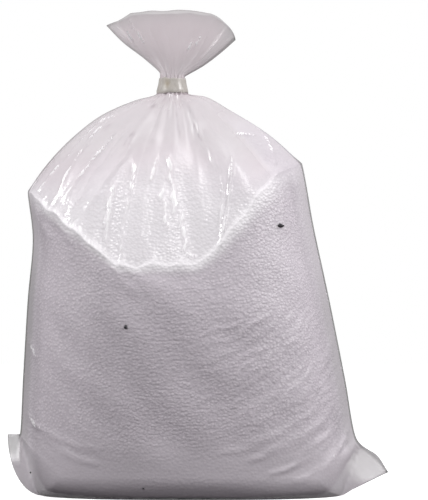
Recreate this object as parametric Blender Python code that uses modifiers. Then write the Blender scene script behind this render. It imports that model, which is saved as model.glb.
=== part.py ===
"""A clear polythene bag of polystyrene beads, standing on its base with its neck gathered and taped.

Metres, +Z up, +X to the right and -Y to the front. The origin is the middle of the base, on the floor.
The bag is a lay-flat tube of film, welded along the bottom. Where the tube was folded flat it keeps a
crease down each side, and the ends of the weld stand out as two ears.
"""

from dataclasses import dataclass, fields
import math

import bmesh
import bpy
import numpy as np

# Whole bag, from the floor to the mouth of the tuft
BAG_HEIGHT = 0.585

# Film
FILM_THICKNESS = 0.0001
CREASE_THICKNESS = 0.0032
WELD_THICKNESS = 0.0009

# Body, from the floor to the edge where the film leaves the beads
BODY_DEPTH = 0.252
BASE_DEPTH = 0.216
BASE_REACH_LEFT = 0.188
BASE_REACH_RIGHT = 0.172
BULGE_HEIGHT = 0.026
WAIST_HEIGHT = 0.236
WAIST_LEFT = 0.206
WAIST_RIGHT = 0.159
PINCH_LEFT = 0.006
PINCH_RIGHT = 0.001
CREASE_WIDTH_LEFT = 0.013
CREASE_WIDTH_RIGHT = 0.009

# Ears at the two ends of the weld
EAR_LEFT_REACH = 0.042
EAR_LEFT_HEIGHT = 0.074
EAR_LEFT_TOP = 0.0145
EAR_RIGHT_REACH = 0.058
EAR_RIGHT_HEIGHT = 0.028
EAR_RIGHT_TOP = 0.0375
EAR_RIGHT_RISE = 0.039
EAR_RIGHT_SWELL = 0.006

# Shoulder, where the film leaves the beads
SHOULDER_LEFT = 0.206
SHOULDER_LEFT_HEIGHT = 0.368
SHOULDER_RIGHT = 0.126
SHOULDER_RIGHT_HEIGHT = 0.399
EDGE_DEPTH = 0.226
FRONT_EDGE_HEIGHT = 0.275
BACK_EDGE_HEIGHT = 0.288
SHOULDER_BOW_LEFT = 0.020
SHOULDER_BOW_RIGHT = 0.010

# Swags of the filled film, which hang from one side crease to the other and are deepest near both
SWAG_DEPTH = 0.0010
SWAG_SAG = 0.120
SWAG_SPACING = 0.055
SWAG_LEAN = 2.0
SWAG_FOOT_SHARE = 0.3
SWAG_WAIST_SHARE = 0.6

# Tape and the neck inside it, below the tuft
MOUTH_RISE = 0.081
TAPE_WIDTH = 0.018
NECK_HEIGHT = BAG_HEIGHT - MOUTH_RISE - TAPE_WIDTH
NECK_OFFSET = 0.031
NECK_RADIUS_LOWER = 0.019
NECK_RADIUS_UPPER = 0.015
TAPE_THICKNESS = 0.00015
TAPE_TURNS = 4
TAPE_END_ANGLE = math.radians(-119)
TAPE_CLEARANCE = 0.0003

# Tuft of film above the tape
TUFT_START_LEFT = 0.006
TUFT_START_RIGHT = 0.002
TUFT_LEFT = 0.111
TUFT_RISE_LEFT = 0.0645
TUFT_RIGHT = 0.0455
TUFT_RISE_RIGHT = 0.047
TUFT_DEPTH = 0.044

# Beads
HEAP_RISE = 0.097
HEAP_SHARPNESS = 1.4
HEAP_SHARES = (0.85, 0.66, 0.45, 0.24)
FILL_CLEARANCE = 0.0003
FILL_NOSE = 0.004
FILL_SHORTFALL = 0.4

# Gathers of the film, as folds that deepen towards the neck
PLEATS = 20
POINTS_PER_PLEAT = 4
PLEAT_UNEVENNESS = 0.14
PLEAT_UNEVENNESS_STEP = 2.4
FLAT_END_SHARPNESS = 6
NECK_GATHER = 0.60

# Roundness of the rings: the first power squares them and the second blunts their ends
ROUND_SQUARENESS = 2.0
ROUND_BLUNTNESS = 0.5
BASE_SQUARENESS = 2.8
BASE_BLUNTNESS = 0.62
BODY_SQUARENESS = 2.5
BODY_BLUNTNESS = 0.56
FOOT_BLUNTNESS = 0.60
EDGE_SQUARENESS = 2.6
EDGE_BLUNTNESS = 0.62
MOUTH_BLUNTNESS = 0.70
CREASE_TAPER = 0.12

# Level part of each ring from its middle, as a share of each half, before it climbs to its end
BODY_LEVEL = 0.30
FOOT_LEVEL = 0.74
EDGE_LEVEL_LEFT = 0.34
EDGE_LEVEL_RIGHT = 0.15
TUFT_LEVEL_LEFT = 0.62
TUFT_LEVEL_RIGHT = 0.60

# Curve of each ring's climb to its end, where 1 is straight and more is rounder
EAR_LEFT_CURVE = 2.0
EAR_RIGHT_CURVE = 1.0
BASE_CORNER_CURVE = 1.2
TUFT_LEFT_CURVE = 1.0
TUFT_RIGHT_CURVE = 1.5

# Share by which the climb to the right end of the shoulder is eased at its start and its end
SHOULDER_EASE_RIGHT = 1.0

# Share of the folds that is held flat at the two ends of a ring
SHOULDER_FLAT_ENDS = 0.6
TUFT_FLAT_ENDS = 0.9

# Heights of the rings up the body, as shares of the way from the ears or the foot to the waist or edge
LOWER_SIDE = 0.45
WAIST_SHARE = 0.72
PINCH_SHARE = 0.55
WAIST_DEPTH_SHARE = 0.15
PINCH_DEPTH_SHARE = 0.45

# Rings of the shoulder: share of the way up, of the left bow and of the right bow, and gather
SHOULDER_RINGS = (
    (0.0, 0.0, 0.0, 0.0),
    (0.33, 0.85, 1.0, 0.10),
    (0.66, 0.95, 1.0, 0.24),
    (0.87, 0.45, 0.8, 0.40),
)

# Rings of the tuft: share of its height, of its left spread and of its right spread, and gather
TUFT_RINGS = (
    (0.0, 0.0, 0.0, 0.60),
    (0.30, 0.28, 0.37, 0.55),
    (0.65, 0.69, 0.71, 0.48),
    (1.0, 1.0, 1.0, 0.42),
)

TAPE_SEGMENTS = 64
COLLECTION = "bag_of_polystyrene_beads"


@dataclass(frozen=True)
class Station:
    """One ring of the bag, by its two ends, its front and back, and how it is shaped between them."""

    left: float
    left_height: float
    right: float
    right_height: float
    front: float
    front_height: float
    back: float
    back_height: float
    crease_left: float = 0.0
    crease_right: float = 0.0
    crease: float = 0.0
    squareness: float = ROUND_SQUARENESS
    bluntness: float = ROUND_BLUNTNESS
    level_left: float = BODY_LEVEL
    level_right: float = BODY_LEVEL
    rise_left: float = 1.0
    rise_right: float = 1.0
    ease_right: float = 0.0
    swag: float = 0.0
    gather: float = 0.0
    flat_ends: float = 0.0


def between(start, end, share):
    """The value at a share of the way from start to end."""
    return start + (end - start) * share


def bowed(start, end, share, bow):
    """The point at a share of the way from start to end, pushed up square to that line by bow."""
    along = (end[0] - start[0], end[1] - start[1])
    length = math.hypot(*along)
    side = math.copysign(bow / length, along[0])
    return (
        between(start[0], end[0], share) - along[1] * side,
        between(start[1], end[1], share) + along[0] * side,
    )


def body_station(share, depth, front_height, back_height, **changes):
    """A ring of the filled body, at a share of the way from the top of the ears to the waist."""
    values = dict(
        left=between(-(BASE_REACH_LEFT + EAR_LEFT_REACH - EAR_LEFT_TOP), -WAIST_LEFT, share),
        left_height=between(EAR_LEFT_HEIGHT, WAIST_HEIGHT, share),
        right=between(BASE_REACH_RIGHT + EAR_RIGHT_REACH - EAR_RIGHT_TOP, WAIST_RIGHT, share),
        right_height=between(EAR_RIGHT_HEIGHT + EAR_RIGHT_RISE, WAIST_HEIGHT, share),
        front=depth / 2,
        front_height=front_height,
        back=depth / 2,
        back_height=back_height,
        crease_left=CREASE_WIDTH_LEFT,
        crease_right=CREASE_WIDTH_RIGHT,
        crease=CREASE_THICKNESS / 2,
        squareness=BODY_SQUARENESS,
        bluntness=BODY_BLUNTNESS,
    )
    values.update(changes)
    return Station(**values)


def pinch_station(front_height, back_height):
    """The ring where the sides draw in a little between the waist and the shoulder."""
    return body_station(
        1.0,
        between(BODY_DEPTH, EDGE_DEPTH, PINCH_DEPTH_SHARE),
        front_height,
        back_height,
        left=PINCH_LEFT - between(WAIST_LEFT, SHOULDER_LEFT, PINCH_SHARE),
        left_height=between(WAIST_HEIGHT, SHOULDER_LEFT_HEIGHT, PINCH_SHARE),
        right=between(WAIST_RIGHT, SHOULDER_RIGHT, PINCH_SHARE) - PINCH_RIGHT,
        right_height=between(WAIST_HEIGHT, SHOULDER_RIGHT_HEIGHT, PINCH_SHARE),
    )


def weld_station():
    """The weld along the bottom: flat on the floor, and rising to the tip of each ear."""
    left = BASE_REACH_LEFT + EAR_LEFT_REACH
    right = BASE_REACH_RIGHT + EAR_RIGHT_REACH
    half = (left + right) / 2
    return Station(
        left=-left,
        left_height=EAR_LEFT_HEIGHT,
        right=right,
        right_height=EAR_RIGHT_HEIGHT,
        front=0.0,
        front_height=0.0,
        back=0.0,
        back_height=0.0,
        crease_left=EAR_LEFT_REACH,
        crease_right=EAR_RIGHT_REACH,
        crease=WELD_THICKNESS / 2,
        level_left=1 - EAR_LEFT_REACH / half,
        level_right=1 - EAR_RIGHT_REACH / half,
        rise_left=EAR_LEFT_CURVE,
        rise_right=EAR_RIGHT_CURVE,
    )


def base_station():
    """The rim of the flat base, with the ears standing out of it."""
    left = BASE_REACH_LEFT + EAR_LEFT_REACH - EAR_LEFT_TOP / 2
    right = BASE_REACH_RIGHT + EAR_RIGHT_REACH - EAR_RIGHT_TOP / 2 + EAR_RIGHT_SWELL
    half = (left + right) / 2
    return Station(
        left=-left,
        left_height=EAR_LEFT_HEIGHT,
        right=right,
        right_height=EAR_RIGHT_HEIGHT + EAR_RIGHT_RISE / 2,
        front=BASE_DEPTH / 2,
        front_height=0.0,
        back=BASE_DEPTH / 2,
        back_height=0.0,
        crease_left=left - BASE_REACH_LEFT,
        crease_right=right - BASE_REACH_RIGHT,
        crease=CREASE_THICKNESS / 2,
        squareness=BASE_SQUARENESS,
        bluntness=BASE_BLUNTNESS,
        level_left=1 - (left - BASE_REACH_LEFT) / half,
        level_right=1 - (right - BASE_REACH_RIGHT) / half,
        rise_left=EAR_LEFT_CURVE,
        rise_right=BASE_CORNER_CURVE,
    )


def shoulder_station(share, left_bow, right_bow, gather):
    """A ring of the free film, at a share of the way from the beads' edge up to the neck."""
    left, left_height = bowed(
        (-SHOULDER_LEFT, SHOULDER_LEFT_HEIGHT),
        (-NECK_OFFSET - NECK_RADIUS_LOWER, NECK_HEIGHT),
        share,
        SHOULDER_BOW_LEFT * left_bow,
    )
    right, right_height = bowed(
        (SHOULDER_RIGHT, SHOULDER_RIGHT_HEIGHT),
        (NECK_RADIUS_LOWER - NECK_OFFSET, NECK_HEIGHT),
        share,
        SHOULDER_BOW_RIGHT * right_bow,
    )
    return Station(
        left=left,
        left_height=left_height,
        right=right,
        right_height=right_height,
        front=between(EDGE_DEPTH / 2, NECK_RADIUS_LOWER, share),
        front_height=between(FRONT_EDGE_HEIGHT, NECK_HEIGHT, share),
        back=between(EDGE_DEPTH / 2, NECK_RADIUS_LOWER, share),
        back_height=between(BACK_EDGE_HEIGHT, NECK_HEIGHT, share),
        crease_left=between(CREASE_WIDTH_LEFT, 0.0, share),
        crease_right=between(CREASE_WIDTH_RIGHT, 0.0, share),
        crease=between(CREASE_THICKNESS / 2, 0.0, share),
        squareness=between(EDGE_SQUARENESS, ROUND_SQUARENESS, share),
        bluntness=between(EDGE_BLUNTNESS, ROUND_BLUNTNESS, share),
        level_left=EDGE_LEVEL_LEFT,
        level_right=EDGE_LEVEL_RIGHT,
        ease_right=SHOULDER_EASE_RIGHT,
        gather=gather,
        flat_ends=between(SHOULDER_FLAT_ENDS, 0.0, share),
    )


def round_station(centre, radius, height, gather):
    """A level, round ring of gathered film."""
    return Station(
        left=centre - radius,
        left_height=height,
        right=centre + radius,
        right_height=height,
        front=radius,
        front_height=height,
        back=radius,
        back_height=height,
        gather=gather,
    )


def tuft_station(share, left_spread, right_spread, gather):
    """A ring of the tuft, at a share of its height and a share of its full spread to each side."""
    tape_top = NECK_HEIGHT + TAPE_WIDTH
    start = (TUFT_START_LEFT + TUFT_START_RIGHT) / 2
    spread = (left_spread + right_spread) / 2
    radius = NECK_RADIUS_UPPER
    height = tape_top + between(start, MOUTH_RISE, share)
    return Station(
        left=between(-NECK_OFFSET - radius, -TUFT_LEFT, left_spread),
        left_height=tape_top + between(TUFT_START_LEFT, TUFT_RISE_LEFT, share),
        right=between(radius - NECK_OFFSET, TUFT_RIGHT, right_spread),
        right_height=tape_top + between(TUFT_START_RIGHT, TUFT_RISE_RIGHT, share),
        front=between(radius, TUFT_DEPTH / 2, spread),
        front_height=height,
        back=between(radius, TUFT_DEPTH / 2, spread),
        back_height=height,
        bluntness=between(ROUND_BLUNTNESS, MOUTH_BLUNTNESS, spread),
        level_left=TUFT_LEVEL_LEFT,
        level_right=TUFT_LEVEL_RIGHT,
        rise_left=TUFT_LEFT_CURVE,
        rise_right=TUFT_RIGHT_CURVE,
        gather=gather,
        flat_ends=TUFT_FLAT_ENDS * spread,
    )


def body_stations():
    """The rings from the weld to just under the shoulder, each with the mesh rows up to the next."""
    waist_front = between(BULGE_HEIGHT, FRONT_EDGE_HEIGHT, WAIST_SHARE)
    waist_back = between(BULGE_HEIGHT, BACK_EDGE_HEIGHT, WAIST_SHARE)
    foot = body_station(
        0.0,
        BODY_DEPTH,
        BULGE_HEIGHT,
        BULGE_HEIGHT,
        bluntness=FOOT_BLUNTNESS,
        level_left=FOOT_LEVEL,
        level_right=FOOT_LEVEL,
        swag=SWAG_DEPTH * SWAG_FOOT_SHARE,
    )
    side = body_station(
        LOWER_SIDE,
        BODY_DEPTH,
        between(BULGE_HEIGHT, waist_front, LOWER_SIDE),
        between(BULGE_HEIGHT, waist_back, LOWER_SIDE),
        swag=SWAG_DEPTH,
    )
    waist_depth = between(BODY_DEPTH, EDGE_DEPTH, WAIST_DEPTH_SHARE)
    waist = body_station(1.0, waist_depth, waist_front, waist_back, swag=SWAG_DEPTH * SWAG_WAIST_SHARE)
    pinch = pinch_station(
        between(waist_front, FRONT_EDGE_HEIGHT, PINCH_SHARE),
        between(waist_back, BACK_EDGE_HEIGHT, PINCH_SHARE),
    )
    return [(weld_station(), 2), (base_station(), 3), (foot, 3), (side, 4), (waist, 2), (pinch, 2)]


def bag_stations():
    """All the bag's rings from the weld to the mouth, each with the mesh rows up to the next."""
    shoulder = [shoulder_station(*row) for row in SHOULDER_RINGS]
    tuft = [tuft_station(*row) for row in TUFT_RINGS]
    neck_low = round_station(-NECK_OFFSET, NECK_RADIUS_LOWER, NECK_HEIGHT, NECK_GATHER)
    neck_high = round_station(-NECK_OFFSET, NECK_RADIUS_UPPER, NECK_HEIGHT + TAPE_WIDTH, NECK_GATHER)
    return (
        body_stations()
        + list(zip(shoulder, (3, 3, 2, 2)))
        + [(neck_low, 2), (neck_high, 1)]
        + list(zip(tuft, (2, 2, 2, 0)))
    )


def smooth_rows(table, counts):
    """Rows between the rows of a table, by a cubic through each column that never overshoots it."""
    steps = np.diff(table, axis=0)
    product = steps[:-1] * steps[1:]
    total = steps[:-1] + steps[1:]
    inner = np.where(product > 0, 2 * product / np.where(total == 0, 1, total), 0)
    slopes = np.vstack([steps[:1], inner, steps[-1:]])
    rows = []
    for k, count in enumerate(counts):
        for t in np.arange(count) / count:
            rows.append(
                (2 * t**3 - 3 * t**2 + 1) * table[k]
                + (t**3 - 2 * t**2 + t) * slopes[k]
                + (3 * t**2 - 2 * t**3) * table[k + 1]
                + (t**3 - t**2) * slopes[k + 1]
            )
    rows.append(table[-1])
    return np.array(rows)


def lofted_stations(stations):
    """The stations with smooth ones between them, as many as each asks for."""
    names = [field.name for field in fields(Station)]
    table = np.array([[getattr(station, name) for name in names] for station, _ in stations])
    counts = [count for _, count in stations[:-1]]
    return [Station(*row) for row in smooth_rows(table, counts)]


def ring(station, within_body=False):
    """The points of one ring, from the left end along the front to the right end and back behind.

    With within_body, the ring is that of the beads, which stop short of the creases in a blunt nose.
    """
    turn = np.linspace(0, 2 * math.pi, PLEATS * POINTS_PER_PLEAT, endpoint=False)
    across = -np.cos(turn)
    is_left = across < 0
    is_front = np.sin(turn) > 0
    middle = (station.left + station.right) / 2
    half = (station.right - station.left) / 2
    body_end = 1 - np.where(is_left, station.crease_left, station.crease_right) / half

    past_body = np.zeros_like(across)
    if within_body:
        body_end = 1 - (1 - body_end) * (1 + FILL_SHORTFALL)
        past_body = np.clip((np.abs(across) - body_end) / np.maximum(1 - body_end, 1e-9), 0, 1)
        across = np.clip(across, -body_end, body_end)
    size = np.abs(across)

    body = (1 - np.minimum(size / body_end, 1) ** station.squareness) ** station.bluntness
    depth = np.where(is_front, station.front, station.back) * body
    crease = station.crease * (1 - size) ** CREASE_TAPER
    x = middle + half * across + np.sign(across) * past_body * FILL_NOSE

    level = np.where(is_left, station.level_left, station.level_right)
    rise = np.where(is_left, station.rise_left, station.rise_right)
    climb = np.clip((size - level) / (1 - level), 0, 1)
    eased = between(climb, climb**2 * (3 - 2 * climb), np.where(is_left, 0.0, station.ease_right))
    share = 1 - (1 - eased**rise) ** (1 / rise)
    low = np.where(is_front, station.front_height, station.back_height)
    high = np.where(is_left, station.left_height, station.right_height)
    z = between(low, high, share)

    hang = (z - SWAG_SAG * np.cos(turn) ** 2) / SWAG_SPACING
    swag = np.sin(2 * turn) ** 2 * np.cos(2 * math.pi * hang + SWAG_LEAN * turn) * station.swag
    y = (np.hypot(depth, crease) * np.sqrt(1 - past_body**2) + swag) * np.where(is_front, -1, 1)

    pleat = np.arange(len(turn)) // POINTS_PER_PLEAT
    unevenness = 1 - PLEAT_UNEVENNESS * (1 - np.sin(PLEAT_UNEVENNESS_STEP * pleat + 1))
    calm = 1 - station.flat_ends * np.cos(turn) ** FLAT_END_SHARPNESS
    fold = (0.5 - 0.5 * np.cos(PLEATS * turn)) * unevenness * station.gather * calm
    return np.column_stack([middle + (x - middle) * (1 - fold), y * (1 - fold), z])


def mesh_object(name, points, faces, material):
    """A mesh object of its own from points and faces, shaded smooth."""
    mesh = bpy.data.meshes.new(name)
    mesh.from_pydata([tuple(p) for p in points], [], faces)
    mesh.materials.append(material)
    mesh.shade_smooth()
    made = bpy.data.objects.new(name, mesh)
    bpy.data.collections[COLLECTION].objects.link(made)
    return made


def wall_faces(rows, around):
    """Quads between neighbouring rows of closed rings, facing outwards."""
    faces = []
    for row in range(rows - 1):
        low, high = row * around, (row + 1) * around
        for j in range(around):
            k = (j + 1) % around
            faces.append((low + j, low + k, high + k, high + j))
    return faces


def film_bag(material):
    """The bag: one sheet from the weld to the mouth, with the weld closed and the mouth open."""
    rings = [ring(station) for station in lofted_stations(bag_stations())]
    around = len(rings[0])
    faces = wall_faces(len(rings), around)
    for j in range(1, around // 2 - 1):
        faces.append((j + 1, j, around - j, around - j - 1))
    faces.append((1, 0, around - 1))
    faces.append((around // 2, around // 2 - 1, around // 2 + 1))
    bag = mesh_object("film_bag", np.vstack(rings), faces, material)
    wall = bag.modifiers.new("film", "SOLIDIFY")
    wall.thickness = FILM_THICKNESS
    wall.offset = -1
    return bag


def heap_rings(edge):
    """Rings of the heaped top of the beads, from their edge in towards the crest."""
    top = FRONT_EDGE_HEIGHT + HEAP_RISE
    centre = np.append(edge[:, :2].mean(axis=0), top)
    rings = []
    for share in HEAP_SHARES:
        inner = centre + (edge - centre) * share
        inner[:, 2] = between(top, edge[:, 2], share**HEAP_SHARPNESS)
        rings.append(inner)
    return rings, centre


def bead_fill(material):
    """The beads as one mass: it follows the inside of the film up to its edge, and is heaped above."""
    rows = [count for _, count in body_stations()]
    body = lofted_stations(bag_stations())[rows[0] : sum(rows) + 1]
    rings = [ring(station, within_body=True) for station in body]
    heap, crest = heap_rings(rings[-1])
    rings += heap
    around = len(rings[0])
    points = np.vstack(rings + [crest[None]])
    faces = wall_faces(len(rings), around)
    faces.append(tuple(reversed(range(around))))
    last = (len(rings) - 1) * around
    for j in range(around):
        faces.append((last + j, last + (j + 1) % around, len(points) - 1))
    fill = mesh_object("bead_fill", points, faces, material)

    inset = FILM_THICKNESS + FILL_CLEARANCE
    shape = bmesh.new()
    shape.from_mesh(fill.data)
    shape.normal_update()
    for vertex in shape.verts:
        vertex.co -= vertex.normal * inset
        vertex.co.z = max(vertex.co.z, inset)
    shape.to_mesh(fill.data)
    shape.free()
    return fill


def neck_tape(material):
    """The tape: turns stuck on one another in a slight cone, ending in a step on the outside."""
    turn = np.linspace(0, 2 * math.pi, TAPE_SEGMENTS, endpoint=False)
    build_up = TAPE_THICKNESS * (TAPE_TURNS + turn / (2 * math.pi))
    flat = 1 / math.cos(math.pi / TAPE_SEGMENTS)
    angle = turn + TAPE_END_ANGLE
    rings = []
    for radius, height in (
        (NECK_RADIUS_LOWER, NECK_HEIGHT),
        (NECK_RADIUS_UPPER, NECK_HEIGHT + TAPE_WIDTH),
    ):
        inside = np.full(TAPE_SEGMENTS, (radius + TAPE_CLEARANCE) * flat)
        for reach in (inside, inside + build_up):
            x = reach * np.cos(angle) - NECK_OFFSET
            y = reach * np.sin(angle)
            rings.append(np.column_stack([x, y, np.full(TAPE_SEGMENTS, height)]))
    inner_low, outer_low, inner_high, outer_high = range(0, 4 * TAPE_SEGMENTS, TAPE_SEGMENTS)
    loops = (outer_low, outer_high, inner_high, inner_low)
    faces = []
    for first, second in zip(loops, loops[1:] + loops[:1]):
        for j in range(TAPE_SEGMENTS):
            k = (j + 1) % TAPE_SEGMENTS
            faces.append((first + j, first + k, second + k, second + j))
    return mesh_object("neck_tape", np.vstack(rings), faces, material)


def plain_material(name, colour, roughness, alpha=1.0):
    """A Principled material of one colour."""
    material = bpy.data.materials.new(name)
    material.use_nodes = True
    shader = material.node_tree.nodes["Principled BSDF"]
    shader.inputs["Base Color"].default_value = (*colour, 1)
    shader.inputs["Roughness"].default_value = roughness
    shader.inputs["Metallic"].default_value = 0.0
    shader.inputs["Alpha"].default_value = alpha
    return material


def main():
    """Clears the scene and builds the bag, its beads and the tape round its neck."""
    for old in list(bpy.data.objects):
        bpy.data.objects.remove(old)
    collection = bpy.data.collections.new(COLLECTION)
    bpy.context.scene.collection.children.link(collection)
    film_bag(plain_material("clear_film", (0.78, 0.74, 0.77), 0.16, 0.35))
    bead_fill(plain_material("white_beads", (0.74, 0.70, 0.73), 0.75))
    neck_tape(plain_material("clear_tape", (0.66, 0.62, 0.52), 0.22, 0.6))


main()
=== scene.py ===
"""A clear polythene bag of polystyrene beads, standing on its base with its neck gathered and taped.

Metres, +Z up, +X to the right along the bag's width and -Y to the front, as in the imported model. The film is
one sheet from the weld to the mouth of the tuft. The beads are loose balls against the inside of the film,
heaped at the top, round a core that fills the gaps between them.
"""

import logging
import math
from dataclasses import dataclass, fields
from enum import Enum
from typing import Any, Iterable, Sequence, Union

import bpy
import numpy as np
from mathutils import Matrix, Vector


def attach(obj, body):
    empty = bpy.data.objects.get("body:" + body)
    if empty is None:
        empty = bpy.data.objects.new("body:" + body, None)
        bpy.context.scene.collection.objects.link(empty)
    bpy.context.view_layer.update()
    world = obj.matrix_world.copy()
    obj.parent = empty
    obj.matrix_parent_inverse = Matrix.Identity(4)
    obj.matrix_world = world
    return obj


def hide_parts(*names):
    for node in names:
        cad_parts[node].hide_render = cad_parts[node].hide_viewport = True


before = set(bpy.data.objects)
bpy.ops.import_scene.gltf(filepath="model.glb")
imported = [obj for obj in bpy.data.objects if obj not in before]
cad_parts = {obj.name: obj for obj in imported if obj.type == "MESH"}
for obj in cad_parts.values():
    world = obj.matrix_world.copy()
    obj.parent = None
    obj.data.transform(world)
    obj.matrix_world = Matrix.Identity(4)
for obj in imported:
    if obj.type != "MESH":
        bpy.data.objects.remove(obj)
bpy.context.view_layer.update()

LOG = logging.getLogger("bead_bag")

Array = np.ndarray
Pair = tuple[Array, Array]
Piece = bpy.types.Object
Socket = bpy.types.NodeSocket
Span = tuple[float, float]
Triple = tuple[float, float, float]
Colour = Triple


class Slot(Enum):
    """The material slots of the record."""

    FILM = "film"
    BEADS = "beads"
    TAPE = "tape"


class Place(Enum):
    """The rings of the bag that its form is drawn through, by their place along the film."""

    WELD = 0
    BASE = 1
    FOOT = 2
    SIDE = 3
    WAIST = 4
    PINCH = 5
    EDGE = 6
    SHOULDER_LOW = 7
    SHOULDER_HIGH = 8
    SHOULDER_TOP = 9
    NECK_LOW = 10
    NECK_HIGH = 11
    TUFT_START = 12
    TUFT_LOW = 13
    TUFT_HIGH = 14
    MOUTH = 15


# Curves and noise

FULL_TURN = 2 * math.pi


def between(start: Any, end: Any, share: Any) -> Any:
    """The value at a share of the way from start to end."""
    return start + (end - start) * share


def eased(low: float, high: float, value: Array) -> Array:
    """A smooth step from 0 at low to 1 at high: 3t^2 - 2t^3 of the clipped share of the way."""
    share = np.clip((value - low) / (high - low), 0, 1)
    return share * share * (3 - 2 * share)


def hump(centre: float, width: float, value: Array) -> Array:
    """A bell of height 1: e to the power of minus the squared distance from centre in widths."""
    return np.exp(-(((value - centre) / width) ** 2))


def apart(turn: Array, other: Any) -> Array:
    """The angle from another turn to this one, brought between minus and plus half a turn."""
    return (turn - other + math.pi) % FULL_TURN - math.pi


@dataclass(frozen=True)
class Wander:
    """A smooth random curve: the sum of one sine for each wave number, with random strengths and phases.

    Wave numbers are in radians per unit of the value, and whole ones close on themselves over a full turn.
    """

    seed: int
    waves: tuple[float, ...]
    strengths: Span = (0.5, 1.0)

    def at(self, value: Array) -> Array:
        """The sum of the sines, divided by about the root of their number, so mostly from -1 to 1.

        Args:
            value: Where on the curve.

        Returns:
            An array like value.
        """
        rng = np.random.default_rng(self.seed)
        total = np.zeros_like(value, dtype=float)
        for wave in self.waves:
            total = total + rng.uniform(*self.strengths) * np.sin(wave * value + rng.uniform(0, FULL_TURN))
        return total / (0.55 * len(self.waves) ** 0.5 + 0.45)


@dataclass(frozen=True)
class Ripple:
    """A random field: the sum of a few plane sine waves with wavelengths near length and random headings.

    Length is in metres, and headings are the lowest and highest angle of the waves from the first axis. The
    spread is how much shorter and longer than length a wave may be.
    """

    seed: int
    length: float
    headings: Span = (0, FULL_TURN)
    spread: Span = (0.65, 1.5)
    waves: int = 7
    peak: float = 3.2

    def at(self, u: Array, v: Array) -> Array:
        """The sum of the waves, divided by its usual peak, so mostly from -1 to 1.

        Args:
            u: First coordinate in metres.
            v: Second coordinate in metres.

        Returns:
            An array of their shape.
        """
        rng = np.random.default_rng(self.seed)
        total = np.zeros(np.broadcast(u, v).shape)
        for _ in range(self.waves):
            heading = rng.uniform(*self.headings)
            wave = FULL_TURN / (self.length * rng.uniform(*self.spread))
            phase = rng.uniform(0, FULL_TURN)
            total = total + np.sin(wave * (u * math.cos(heading) + v * math.sin(heading)) + phase)
        return total / self.peak


# Form of the bag


@dataclass(frozen=True)
class Station:
    """One ring of the bag, by its ends, front and back and the shape between. Half its depth is deep."""

    left: float
    left_height: float
    right: float
    right_height: float
    deep: float = 0.0
    front_height: float = 0.0
    back_height: float = 0.0
    crease_left: float = 0.0
    crease_right: float = 0.0
    crease: float = 0.0
    squareness: float = 2.0
    bluntness: float = 0.5
    level_left: float = 0.3
    level_right: float = 0.3
    rise_left: float = 1.0
    rise_right: float = 1.0
    ease_right: float = 0.0
    swag: float = 0.0
    gather: float = 0.0
    flat_ends: float = 0.0


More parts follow.
